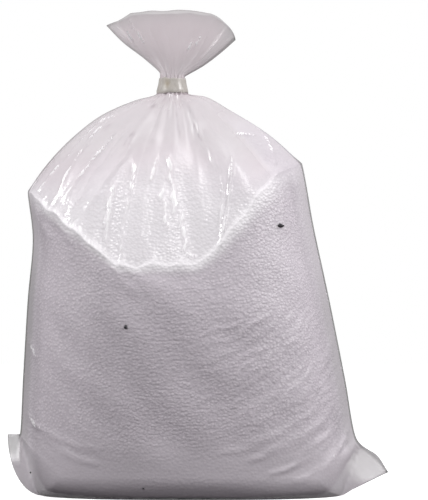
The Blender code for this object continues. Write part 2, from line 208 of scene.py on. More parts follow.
@dataclass(frozen=True)
class BagForm:
    """The bag's main sizes in metres, and the surface that they give.

    The rows of shoulder_rings and tuft_rings are what shoulder_station and tuft_station take. Folds are as
    deep as a share of the radius. Dips and slits are shares of that at the shoulder, in the neck and in the
    tuft, and into_neck and into_tuft are the places where one passes into the next.
    """

    body_depth: float = 0.252
    base_depth: float = 0.216
    base_left: float = 0.188
    base_right: float = 0.172
    bulge_height: float = 0.026
    waist_height: float = 0.236
    waist_left: float = 0.206
    waist_right: float = 0.159
    pinch_left: float = 0.006
    pinch_right: float = 0.001
    ear_left_reach: float = 0.042
    ear_left_height: float = 0.074
    ear_left_top: float = 0.0145
    ear_left_curve: float = 2.0
    ear_right_reach: float = 0.058
    ear_right_height: float = 0.028
    ear_right_top: float = 0.0375
    ear_right_rise: float = 0.039
    ear_right_swell: float = 0.006
    base_corner_curve: float = 1.2
    crease_width_left: float = 0.002
    crease_width_right: float = 0.0018
    crease: float = 0.0008
    weld: float = 0.00045

    base_squareness: float = 2.8
    base_bluntness: float = 0.62
    body_squareness: float = 2.5
    body_bluntness: float = 0.56
    foot_bluntness: float = 0.6
    foot_level: float = 0.74
    lower_side: float = 0.45
    waist_share: float = 0.72
    waist_depth_share: float = 0.15
    pinch_share: float = 0.55
    pinch_depth_share: float = 0.45

    edge_left: float = 0.206
    edge_left_height: float = 0.368
    edge_right: float = 0.126
    edge_right_height: float = 0.399
    edge_depth: float = 0.226
    front_edge: float = 0.275
    back_edge: float = 0.288
    edge_squareness: float = 2.6
    edge_bluntness: float = 0.62
    edge_level_left: float = 0.34
    edge_level_right: float = 0.15
    edge_bend_below: float = 0.5
    edge_bend_above: float = 0.8
    bow_left: float = 0.02
    bow_right: float = 0.01
    shoulder_flat_ends: float = 0.6
    shoulder_rings: tuple[tuple[float, ...], ...] = (
        (0.0, 0.0, 0.0, 0.0),
        (0.33, 0.85, 1.0, 0.1),
        (0.66, 0.95, 1.0, 0.24),
        (0.87, 0.45, 0.8, 0.4),
    )

    swag: float = 0.0005
    swag_foot_share: float = 0.3
    swag_waist_share: float = 0.6
    swag_sag: float = 0.12
    swag_spacing: float = 0.055
    swag_lean: float = 2.0

    neck_height: float = 0.486
    neck_offset: float = 0.031
    neck_lower: float = 0.019
    neck_upper: float = 0.015
    neck_gather: float = 0.6
    tape_width: float = 0.018

    mouth_rise: float = 0.081
    mouth_bluntness: float = 0.7
    tuft_start: float = 0.004
    tuft_start_left: float = 0.006
    tuft_start_right: float = 0.002
    tuft_left: float = 0.111
    tuft_rise_left: float = 0.0645
    tuft_right: float = 0.0455
    tuft_rise_right: float = 0.047
    tuft_depth: float = 0.044
    tuft_level_left: float = 0.62
    tuft_level_right: float = 0.6
    tuft_right_curve: float = 1.5
    tuft_flat_ends: float = 0.9
    tuft_rings: tuple[tuple[float, ...], ...] = (
        (0.0, 0.0, 0.0, 0.6),
        (0.3, 0.28, 0.37, 0.55),
        (0.65, 0.69, 0.71, 0.48),
        (1.0, 1.0, 1.0, 0.42),
    )

    pleats: int = 20
    pleat_slide: float = 1.7
    pleat_slides: Wander = Wander(11, (2, 3, 5, 7))
    pleat_unevenness: float = 0.26
    pleat_depths: Wander = Wander(23, (3, 6, 8, 13))
    into_neck: Span = (9.3, 10.3)
    into_tuft: Span = (11.2, 12.8)
    dips: Triple = (0.02, 0.22, 0.025)
    slits: Triple = (0.0, 0.02, 0.012)
    dip_sharpness: float = 1.2
    slit_sharpness: int = 14
    flat_end_sharpness: int = 6
    deepest_fold: float = 0.88

    heap_top: float = 0.372
    heap_sharpness: float = 1.4
    bead_nose: float = 0.0012
    bead_shortfall: float = 1.2
    bead_inset: float = 0.0004

    def body_station(self, share: float, depth: float, heights: Span, **changes: float) -> Station:
        """A ring of the filled body, at a share of the way from the top of the ears to the waist.

        Args:
            share: Share of the way up.
            depth: Depth of the ring.
            heights: Heights of its front and of its back.
            **changes: Fields of the station that differ.

        Returns:
            The station.
        """
        ear_left = -(self.base_left + self.ear_left_reach - self.ear_left_top)
        ear_right = self.base_right + self.ear_right_reach - self.ear_right_top
        values = dict(
            left=between(ear_left, -self.waist_left, share),
            left_height=between(self.ear_left_height, self.waist_height, share),
            right=between(ear_right, self.waist_right, share),
            right_height=between(self.ear_right_height + self.ear_right_rise, self.waist_height, share),
            deep=depth / 2,
            front_height=heights[0],
            back_height=heights[1],
            crease_left=self.crease_width_left,
            crease_right=self.crease_width_right,
            crease=self.crease,
            squareness=self.body_squareness,
            bluntness=self.body_bluntness,
        )
        values.update(changes)
        return Station(**values)

    def bottom_stations(self) -> list[Station]:
        """The weld, flat on the floor between its two ears, and the rim of the base round it."""
        left, right = self.base_left + self.ear_left_reach, self.base_right + self.ear_right_reach
        half = (left + right) / 2
        weld = Station(
            left=-left,
            left_height=self.ear_left_height,
            right=right,
            right_height=self.ear_right_height,
            crease_left=self.ear_left_reach,
            crease_right=self.ear_right_reach,
            crease=self.weld,
            level_left=1 - self.ear_left_reach / half,
            level_right=1 - self.ear_right_reach / half,
            rise_left=self.ear_left_curve,
        )
        left -= self.ear_left_top / 2
        right += self.ear_right_swell - self.ear_right_top / 2
        half = (left + right) / 2
        base = Station(
            left=-left,
            left_height=self.ear_left_height,
            right=right,
            right_height=self.ear_right_height + self.ear_right_rise / 2,
            deep=self.base_depth / 2,
            crease_left=left - self.base_left,
            crease_right=right - self.base_right,
            crease=self.crease,
            squareness=self.base_squareness,
            bluntness=self.base_bluntness,
            level_left=1 - (left - self.base_left) / half,
            level_right=1 - (right - self.base_right) / half,
            rise_left=self.ear_left_curve,
            rise_right=self.base_corner_curve,
        )
        return [weld, base]

    def side_stations(self) -> list[Station]:
        """The rings up the filled body, from the foot's bulge to the pinch under the shoulder."""
        edges, low = (self.front_edge, self.back_edge), self.bulge_height
        waists = tuple(between(low, edge, self.waist_share) for edge in edges)
        sides = tuple(between(low, waist, self.lower_side) for waist in waists)
        pinches = tuple(between(waist, edge, self.pinch_share) for waist, edge in zip(waists, edges))
        foot = self.body_station(
            0,
            self.body_depth,
            (low, low),
            bluntness=self.foot_bluntness,
            level_left=self.foot_level,
            level_right=self.foot_level,
            swag=self.swag * self.swag_foot_share,
        )
        side = self.body_station(self.lower_side, self.body_depth, sides, swag=self.swag)
        waist_depth = between(self.body_depth, self.edge_depth, self.waist_depth_share)
        waist = self.body_station(1, waist_depth, waists, swag=self.swag * self.swag_waist_share)
        pinch = self.body_station(
            1,
            between(self.body_depth, self.edge_depth, self.pinch_depth_share),
            pinches,
            left=self.pinch_left - between(self.waist_left, self.edge_left, self.pinch_share),
            left_height=between(self.waist_height, self.edge_left_height, self.pinch_share),
            right=between(self.waist_right, self.edge_right, self.pinch_share) - self.pinch_right,
            right_height=between(self.waist_height, self.edge_right_height, self.pinch_share),
        )
        return [foot, side, waist, pinch]

    def shoulder_end(self, share: float, edge: Span, neck: float, bow: float) -> Span:
        """One end of a shoulder ring: on the straight line up to the neck, pushed out square to it by a bow.

        Args:
            share: Share of the way up.
            edge: Place across and height of the end at the beads' edge.
            neck: Place across of the end at the neck.
            bow: How far the line is pushed out here.

        Returns:
            Place across and height.
        """
        across, up = neck - edge[0], self.neck_height - edge[1]
        push = math.copysign(bow / math.hypot(across, up), across)
        return edge[0] + across * share - up * push, edge[1] + up * share + across * push

    def shoulder_station(self, share: float, left_bow: float, right_bow: float, gather: float) -> Station:
        """A ring of the free film, by one row of shoulder_rings.

        Args:
            share: Share of the way from the beads' edge up to the neck.
            left_bow: Share of the full bow on the left.
            right_bow: Share of the full bow on the right.
            gather: Depth of the folds.

        Returns:
            The station.
        """
        left_edge = (-self.edge_left, self.edge_left_height)
        right_edge = (self.edge_right, self.edge_right_height)
        left_neck, right_neck = -self.neck_offset - self.neck_lower, self.neck_lower - self.neck_offset
        deep = between(self.edge_depth / 2, self.neck_lower, share)
        return Station(
            *self.shoulder_end(share, left_edge, left_neck, self.bow_left * left_bow),
            *self.shoulder_end(share, right_edge, right_neck, self.bow_right * right_bow),
            deep=deep,
            front_height=between(self.front_edge, self.neck_height, share),
            back_height=between(self.back_edge, self.neck_height, share),
            crease_left=self.crease_width_left * (1 - share),
            crease_right=self.crease_width_right * (1 - share),
            crease=self.crease * (1 - share),
            squareness=between(self.edge_squareness, Station.squareness, share),
            bluntness=between(self.edge_bluntness, Station.bluntness, share),
            level_left=self.edge_level_left,
            level_right=self.edge_level_right,
            ease_right=1.0,
            gather=gather,
            flat_ends=self.shoulder_flat_ends * (1 - share),
        )

    def neck_station(self, radius: float, height: float) -> Station:
        """A level round ring of the gathered neck."""
        left, right = -self.neck_offset - radius, radius - self.neck_offset
        return Station(left, height, right, height, radius, height, height, gather=self.neck_gather)

    def tuft_station(self, share: float, left: float, right: float, gather: float) -> Station:
        """A ring of the tuft, by one row of tuft_rings.

        Args:
            share: Share of the way from the tape to the mouth.
            left: Share of the full spread to the left.
            right: Share of the full spread to the right.
            gather: Depth of the folds.

        Returns:
            The station.
        """
        top, spread, radius = self.neck_height + self.tape_width, (left + right) / 2, self.neck_upper
        deep = between(radius, self.tuft_depth / 2, spread)
        height = top + between(self.tuft_start, self.mouth_rise, share)
        return Station(
            left=between(-self.neck_offset - radius, -self.tuft_left, left),
            left_height=top + between(self.tuft_start_left, self.tuft_rise_left, share),
            right=between(radius - self.neck_offset, self.tuft_right, right),
            right_height=top + between(self.tuft_start_right, self.tuft_rise_right, share),
            deep=deep,
            front_height=height,
            back_height=height,
            bluntness=between(Station.bluntness, self.mouth_bluntness, spread),
            level_left=self.tuft_level_left,
            level_right=self.tuft_level_right,
            rise_right=self.tuft_right_curve,
            gather=gather,
            flat_ends=self.tuft_flat_ends * spread,
        )

    def stations(self) -> list[Station]:
        """All the bag's rings from the weld to the mouth, in the order of Place."""
        shoulder = [self.shoulder_station(*row) for row in self.shoulder_rings]
        neck = [
            self.neck_station(self.neck_lower, self.neck_height),
            self.neck_station(self.neck_upper, self.neck_height + self.tape_width),
        ]
        tuft = [self.tuft_station(*row) for row in self.tuft_rings]
        return self.bottom_stations() + self.side_stations() + shoulder + neck + tuft

    def columns(self, place: Array) -> dict[str, Array]:
        """Every station field at places between the stations.

        Between two stations each field follows a cubic. Its slope at a station is the harmonic mean of the
        steps on both sides, or 0 where they turn back, so it never overshoots. At the beads' edge the slope
        is mostly that of the step on its own side, which gives the film its sharp bend there.

        Args:
            place: Places along the film, where whole numbers are the stations.

        Returns:
            Arrays like place, by field name.
        """
        names = [column.name for column in fields(Station)]
        table = np.array([[getattr(station, name) for name in names] for station in self.stations()])
        steps = np.diff(table, axis=0)
        product, total = steps[:-1] * steps[1:], steps[:-1] + steps[1:]
        inner = np.where(product > 0, 2 * product / np.where(total == 0, 1, total), 0)
        into = np.vstack([steps[:1], inner, steps[-1:]])
        out = into.copy()
        edge = Place.EDGE.value
        into[edge] = between(into[edge], steps[edge - 1], self.edge_bend_below)
        out[edge] = between(out[edge], steps[edge], self.edge_bend_above)

        k = np.clip(np.floor(place).astype(int), 0, len(table) - 2)
        t = (place - k)[..., None]
        rows = (
            (2 * t**3 - 3 * t**2 + 1) * table[k]
            + (t**3 - 2 * t**2 + t) * out[k]
            + (3 * t**2 - 2 * t**3) * table[k + 1]
            + (t**3 - t**2) * into[k + 1]
        )
        return {name: rows[..., i] for i, name in enumerate(names)}

    def folds(self, place: Array, turn: Array, at: dict[str, Array]) -> Array:
        """Depth of the gathers as a share of the radius.

        Each pleat is a broad panel, which dips a little to both sides, with a narrow slit beside it where the
        film turns deep inside. The dip is a low power of half of one minus the cosine of the pleat's angle,
        and the slit a high power of it. A random curve slides the pleats sideways and another makes some
        shallower. They fade at the two ends of a ring as far as its flat_ends asks.

        Args:
            place: Places along the film.
            turn: Angles round the ring, from the left end over the front.
            at: The station fields there.

        Returns:
            An array like turn.
        """
        angle = self.pleats * turn + np.sin(turn) ** 2 * self.pleat_slides.at(turn) * self.pleat_slide
        shape = 0.5 - 0.5 * np.cos(angle)
        in_neck, in_tuft = eased(*self.into_neck, place), eased(*self.into_tuft, place)
        dip, slit = (
            between(between(shoulder, neck, in_neck), tuft, in_tuft)
            for shoulder, neck, tuft in (self.dips, self.slits)
        )
        depth = shape**self.dip_sharpness * dip + shape**self.slit_sharpness * slit
        strength = between(1, self.pleat_depths.at(turn), self.pleat_unevenness)
        calm = 1 - at["flat_ends"] * np.cos(turn) ** self.flat_end_sharpness
        return np.clip(depth * strength * at["gather"] * calm, 0, self.deepest_fold)

    def surface(self, place: Array, turn: Array, beads: bool = False, folded: bool = True) -> Array:
        """Points of the film's main form, or of the beads' inside it.

        A ring's plan is a blunted superellipse in x and y, with a thin crease past each end of its body. Its
        height is level in the middle and climbs to its two ends, on the right of the shoulder with a smooth
        step. Swags push the filled part out and in: they are a cosine of the height less a sag that grows
        with the squared cosine of the turn. The folds draw a ring in towards its middle.

        Args:
            place: Places along the film, where whole numbers are the stations.
            turn: Angles round the ring, from the left end over the front to the right end and back behind.
            beads: Gives the form of the beads, which stop short of the creases in a blunt nose.
            folded: Draws the folds in.

        Returns:
            Points of shape (..., 3).
        """
        place, turn = np.broadcast_arrays(np.asarray(place, float), np.asarray(turn, float))
        at = self.columns(place)
        across = -np.cos(turn)
        is_left, is_front = across < 0, np.sin(turn) > 0
        middle, half = (at["left"] + at["right"]) / 2, (at["right"] - at["left"]) / 2
        body_end = 1 - np.where(is_left, at["crease_left"], at["crease_right"]) / half
        past_body = np.zeros_like(across)
        if beads:
            body_end = 1 - (1 - body_end) * (1 + self.bead_shortfall)
            past_body = np.clip((np.abs(across) - body_end) / np.maximum(1 - body_end, 1e-9), 0, 1)
            across = np.clip(across, -body_end, body_end)
        size = np.abs(across)
        kept = 1 - self.folds(place, turn, at) if folded else np.ones_like(size)

        level = np.where(is_left, at["level_left"], at["level_right"])
        rise = np.where(is_left, at["rise_left"], at["rise_right"])
        climb = np.clip((size * kept - level) / (1 - level), 0, 1)
        climb = between(climb, climb**2 * (3 - 2 * climb), np.where(is_left, 0, at["ease_right"]))
        share = 1 - (1 - climb**rise) ** (1 / rise)
        low = np.where(is_front, at["front_height"], at["back_height"])
        z = between(low, np.where(is_left, at["left_height"], at["right_height"]), share)

        hang = (z - self.swag_sag * np.cos(turn) ** 2) / self.swag_spacing
        swag = np.sin(2 * turn) ** 2 * np.cos(FULL_TURN * hang + self.swag_lean * turn) * at["swag"]
        plan = (1 - np.minimum(size / body_end, 1) ** at["squareness"]) ** at["bluntness"]
        crease = at["crease"] * np.minimum((1 - size) / (1 - body_end + 1e-6), 1) ** 0.5
        wall = np.hypot(at["deep"] * plan, crease) * np.sqrt(1 - past_body**2)
        y = (wall + swag) * np.where(is_front, -1, 1)
        x = middle + half * across + np.sign(across) * past_body * self.bead_nose
        return np.stack([middle + (x - middle) * kept, y * kept, z], axis=-1)

    def outward(self, place: Array, turn: Array, beads: bool = False) -> Pair:
        """The way out of the surface without its folds, and how many metres one radian of turn is there.

        The way out is square to the surface's steps over a small change of turn and of place.

        Args:
            place: Places along the film.
            turn: Angles round the ring.
            beads: Uses the form of the beads.

        Returns:
            Unit vectors of shape (..., 3), and an array like turn.
        """
        small = 0.004
        after, before = (self.surface(place, turn + step, beads, False) for step in (small, -small))
        lower, upper = np.maximum(place - small, 0), np.minimum(place + small, Place.MOUTH.value)
        up = self.surface(upper, turn, beads, False) - self.surface(lower, turn, beads, False)
        way = np.cross(after - before, up)
        size = np.linalg.norm(way, axis=-1, keepdims=True)
        return way / np.maximum(size, 1e-15), np.linalg.norm(after - before, axis=-1) / (2 * small)


@dataclass(frozen=True)
class Spots:
    """Points of the bag as arrays: places along the film, turns round it and positions."""

    place: Array
    turn: Array
    points: Array

    @property
    def across(self) -> Array:
        """From -1 at the left end of a ring to 1 at its right end."""
        return -np.cos(self.turn)

    @property
    def ends(self) -> Array:
        """From 0 in the middle of the front and back to 1 at both ends."""
        return np.abs(self.across)

    @property
    def height(self) -> Array:
        """Heights in metres."""
        return self.points[..., 2]

    @property
    def is_front(self) -> Array:
        """True in front."""
        return np.sin(self.turn) > 0

    def past(self, span: Span) -> Array:
        """A smooth step over a span of places."""
        return eased(*span, self.place)

    def short_of(self, span: Span) -> Array:
        """One less a smooth step over a span of places."""
        return 1 - self.past(span)


@dataclass(frozen=True)
class Patch:
    """A part of the filled film that hangs in fine swags, by its middle and its half widths."""

    turn: float
    height: float
    turn_width: float
    height_width: float
    depth: float

    def share(self, turn: Array, up: Array) -> Array:
        """How far a place belongs to the patch: the product of a bell round it and one up it."""
        return hump(0.0, self.turn_width, apart(turn, self.turn)) * hump(self.height, self.height_width, up)


@dataclass(frozen=True)
class Relief:
    """The unevenness of the filled part of the bag, which the film and the beads behind it share.

    The random fields lie over the height and the turn, which counts as metres round a circle of usual_radius.
    """

    form: BagForm
    usual_radius: float = 0.17
    swell: float = 0.0007
    swells: Ripple = Ripple(3, 0.075)
    spacing: float = 0.0125
    bend: float = 0.45
    bends: Ripple = Ripple(8, 0.05)
    ridge_sharpness: float = 0.6
    ridge_unevenness: float = 0.35
    breaks: Ripple = Ripple(12, 0.035)
    from_foot: Span = (1.3, 2.3)
    to_edge: Span = (5.4, 6.0)
    off_floor: Span = (0.02, 0.07)
    side_calm_sharpness: int = 30
    patches: tuple[Patch, ...] = (
        Patch(0.66, 0.08, 0.45, 0.06, 0.0008),
        Patch(2.54, 0.11, 0.6, 0.1, 0.0013),
        Patch(2.05, 0.19, 0.5, 0.06, 0.0009),
        Patch(5.55, 0.095, 0.65, 0.085, 0.0015),
        Patch(3.85, 0.09, 0.6, 0.085, 0.0015),
        Patch(4.3, 0.2, 0.5, 0.06, 0.0009),
    )

    def height(self, spots: Spots) -> Array:
        """How far the filled surface stands out of its main form.

        It is slow swells, plus fine swags in patches. A swag is one less a power of the size of a sine of the
        height along the swags, whose lines rise to both sides and wander. Both fade to the foot, at the
        beads' edge and at the side creases.

        Args:
            spots: Points of the main form.

        Returns:
            Heights in metres.
        """
        around, up = self.usual_radius * spots.turn, spots.height
        total = self.swell * self.swells.at(around, up)
        draped = up - self.form.swag_sag * spots.across**2
        hang = math.pi * (draped / self.spacing + self.bend * self.bends.at(around, up))
        ridge = 1 - np.abs(np.sin(hang)) ** self.ridge_sharpness
        broken = between(1, self.breaks.at(around, up), self.ridge_unevenness)
        for patch in self.patches:
            total = total + patch.depth * patch.share(spots.turn, up) * ridge * broken
        body = spots.past(self.from_foot) * spots.short_of(self.to_edge)
        return total * body * eased(*self.off_floor, up) * (1 - spots.across**self.side_calm_sharpness)


# Meshes


def mesh_piece(name: str, points: Array, faces: Sequence[Array]) -> Piece:
    """A smooth-shaded mesh object at the origin.

    Args:
        name: Name of the piece.
        points: Points of shape (n, 3).
        faces: Arrays of corner numbers, each of shape (count, corners).

    Returns:
        The object, linked to the scene.
    """
    mesh = bpy.data.meshes.new(name)
    corners = np.concatenate([group.ravel() for group in faces])
    sizes = np.concatenate([np.full(len(group), group.shape[1]) for group in faces])
    mesh.vertices.add(len(points))
    mesh.vertices.foreach_set("co", points.astype(np.float32).ravel())
    mesh.loops.add(len(corners))
    mesh.loops.foreach_set("vertex_index", corners.astype(np.int32))
    mesh.polygons.add(len(sizes))
    mesh.polygons.foreach_set("loop_start", (np.cumsum(sizes) - sizes).astype(np.int32))
    mesh.update(calc_edges=True)
    mesh.shade_smooth()
    piece = bpy.data.objects.new(name, mesh)
    bpy.context.scene.collection.objects.link(piece)
    return piece


def ring_corners(around: int) -> Pair:
    """Numbers of the points of a closed ring, and of the next point after each."""
    here = np.arange(around)
    return here, (here + 1) % around


def wall_faces(rows: int, around: int) -> Array:
    """Quads between neighbouring rows of closed rings, facing outwards.

    Args:
        rows: Number of rings.
        around: Points in each ring.

    Returns:
        Corner numbers of shape (quads, 4).
    """
    low = np.arange(rows - 1)[:, None] * around
    here, there = ring_corners(around)
    quads = [low + here, low + there, low + there + around, low + here + around]
    return np.stack(quads, axis=-1).reshape(-1, 4)


def add_values(piece: Piece, name: str, values: Array) -> None:
    """Stores one number for each point of a piece, for its material to read."""
    stored = piece.data.attributes.new(name, "FLOAT", "POINT")
    stored.data.foreach_set("value", values.astype(np.float32).ravel())


def triangles(piece: Piece) -> int:
    """How many triangles a piece's mesh has."""
    return len(piece.data.loops) - 2 * len(piece.data.polygons)


# Shaders

Number = Union[float, "Value"]


class Value:
    """A number that a shader works out, which takes part in Python's arithmetic."""

    def __init__(self, sheet: "ShaderTree", socket: Socket) -> None:
        """Wraps an output socket of a shader's tree."""
        self.sheet = sheet
        self.socket = socket

    def combined(self, operation: str, first: Number, second: Number = 0.0) -> "Value":
        """The result of one Math node."""
        made = self.sheet.node("ShaderNodeMath", {"operation": operation}, {0: first, 1: second})
        return Value(self.sheet, made.outputs[0])

    def __add__(self, other: Number) -> "Value":
        """The sum."""
        return self.combined("ADD", self, other)

    __radd__ = __add__

    def __sub__(self, other: Number) -> "Value":
        """The difference."""
        return self.combined("SUBTRACT", self, other)

    def __rsub__(self, other: Number) -> "Value":
        """The difference from another number."""
        return self.combined("SUBTRACT", other, self)

    def __mul__(self, other: Number) -> "Value":
        """The product."""
        return self.combined("MULTIPLY", self, other)

    __rmul__ = __mul__

    def __abs__(self) -> "Value":
        """The size without its sign."""
        return self.combined("ABSOLUTE", self)

    def clipped(self, low: float = 0.0, high: float = 1.0) -> "Value":
        """The value held between two limits."""
        return self.combined("MINIMUM", self.combined("MAXIMUM", self, low), high)

    def stepped(self, low: float, high: float) -> "Value":
        """A smooth step from 0 where the value is low to 1 where it is high."""
        inputs = {"Value": self, "From Min": low, "From Max": high}
        made = self.sheet.node("ShaderNodeMapRange", {"interpolation_type": "SMOOTHSTEP"}, inputs)
        return Value(self.sheet, made.outputs["Result"])


class ShaderTree:
    """A tree of shader nodes under construction."""

    def __init__(self, tree: bpy.types.NodeTree) -> None:
        """Takes up the tree of a world or a material."""
        self.tree = tree

    def node(self, kind: str, settings: dict[str, Any], inputs: dict[Any, Any]) -> bpy.types.Node:
        """Adds a node.

        Args:
            kind: Blender's type name.
            settings: Properties, set before the sockets.
            inputs: Values, sockets or Value objects by socket name or number.

        Returns:
            The node.
        """
        made = self.tree.nodes.new(kind)
        for name, setting in settings.items():
            setattr(made, name, setting)
        for name, given in inputs.items():
            self.feed(made.inputs[name], given)
        return made

    def feed(self, socket: Socket, given: Any) -> None:
        """Sets a socket to a number or colour, or links a Value or another socket to it.

        Args:
            socket: The input socket.
            given: What it gets.
        """
        if isinstance(given, Value):
            given = given.socket
        if isinstance(given, Socket):
            self.tree.links.new(given, socket)
        elif isinstance(given, tuple) and len(given) == 3 and len(socket.default_value) == 4:
            socket.default_value = (*given, 1.0)
        else:
            socket.default_value = given


class ShaderSheet(ShaderTree):
    """A material under construction, with one Principled shader."""

    def __init__(self, name: str) -> None:
        """Starts a material with a Principled shader and its output."""
        self.material = bpy.data.materials.new(name)
        self.material.use_nodes = True
        super().__init__(self.material.node_tree)
        self.principled = self.tree.nodes["Principled BSDF"]

    def set(self, **inputs: Any) -> None:
        """Feeds the Principled shader's sockets, named with _ for each space."""
        for name, given in inputs.items():
            self.feed(self.principled.inputs[name.replace("_", " ")], given)

    def stored(self, name: str) -> Value:
        """The number stored for each point under a name."""
        made = self.node("ShaderNodeAttribute", {"attribute_name": name}, {})
        return Value(self, made.outputs["Fac"])

    def place(self) -> Socket:
        """Object coordinates, in metres."""
        return self.node("ShaderNodeTexCoord", {}, {}).outputs["Object"]

    def flat_place(self, name: str) -> Socket:
        """Coordinates in a UV map of the piece."""
        return self.node("ShaderNodeUVMap", {"uv_map": name}, {}).outputs["UV"]

    def scaled(self, vector: Any, scale: Triple) -> Socket:
        """A vector with each part multiplied."""
        return self.node("ShaderNodeVectorMath", {"operation": "MULTIPLY"}, {0: vector, 1: scale}).outputs[0]

    def noise(self, vector: Any, scale: float, detail: float = 2.0, bend: float = 0.0) -> Value:
        """Blender's noise at a place, from 0 to 1."""
        inputs = {"Vector": vector, "Scale": scale, "Detail": detail, "Distortion": bend}
        return Value(self, self.node("ShaderNodeTexNoise", {}, inputs).outputs[0])

    def cells(self, vector: Any, scale: float) -> Value:
        """Distance to the nearest of many scattered points, in parts of their spacing."""
        made = self.node("ShaderNodeTexVoronoi", {}, {"Vector": vector, "Scale": scale})
        return Value(self, made.outputs["Distance"])

    def mixed(self, share: Number, first: Any, second: Any) -> Socket:
        """A colour at a share of the way from first to second."""
        made = self.node("ShaderNodeMix", {"data_type": "RGBA"}, {0: share, 6: first, 7: second})
        return made.outputs[2]

    def bumped(self, height: Number, depth: float, strength: float = 1.0) -> Socket:
        """A normal tilted by a height, where a height of 1 is depth metres."""
        inputs = {"Height": height, "Distance": depth, "Strength": strength}
        return self.node("ShaderNodeBump", {}, inputs).outputs[0]


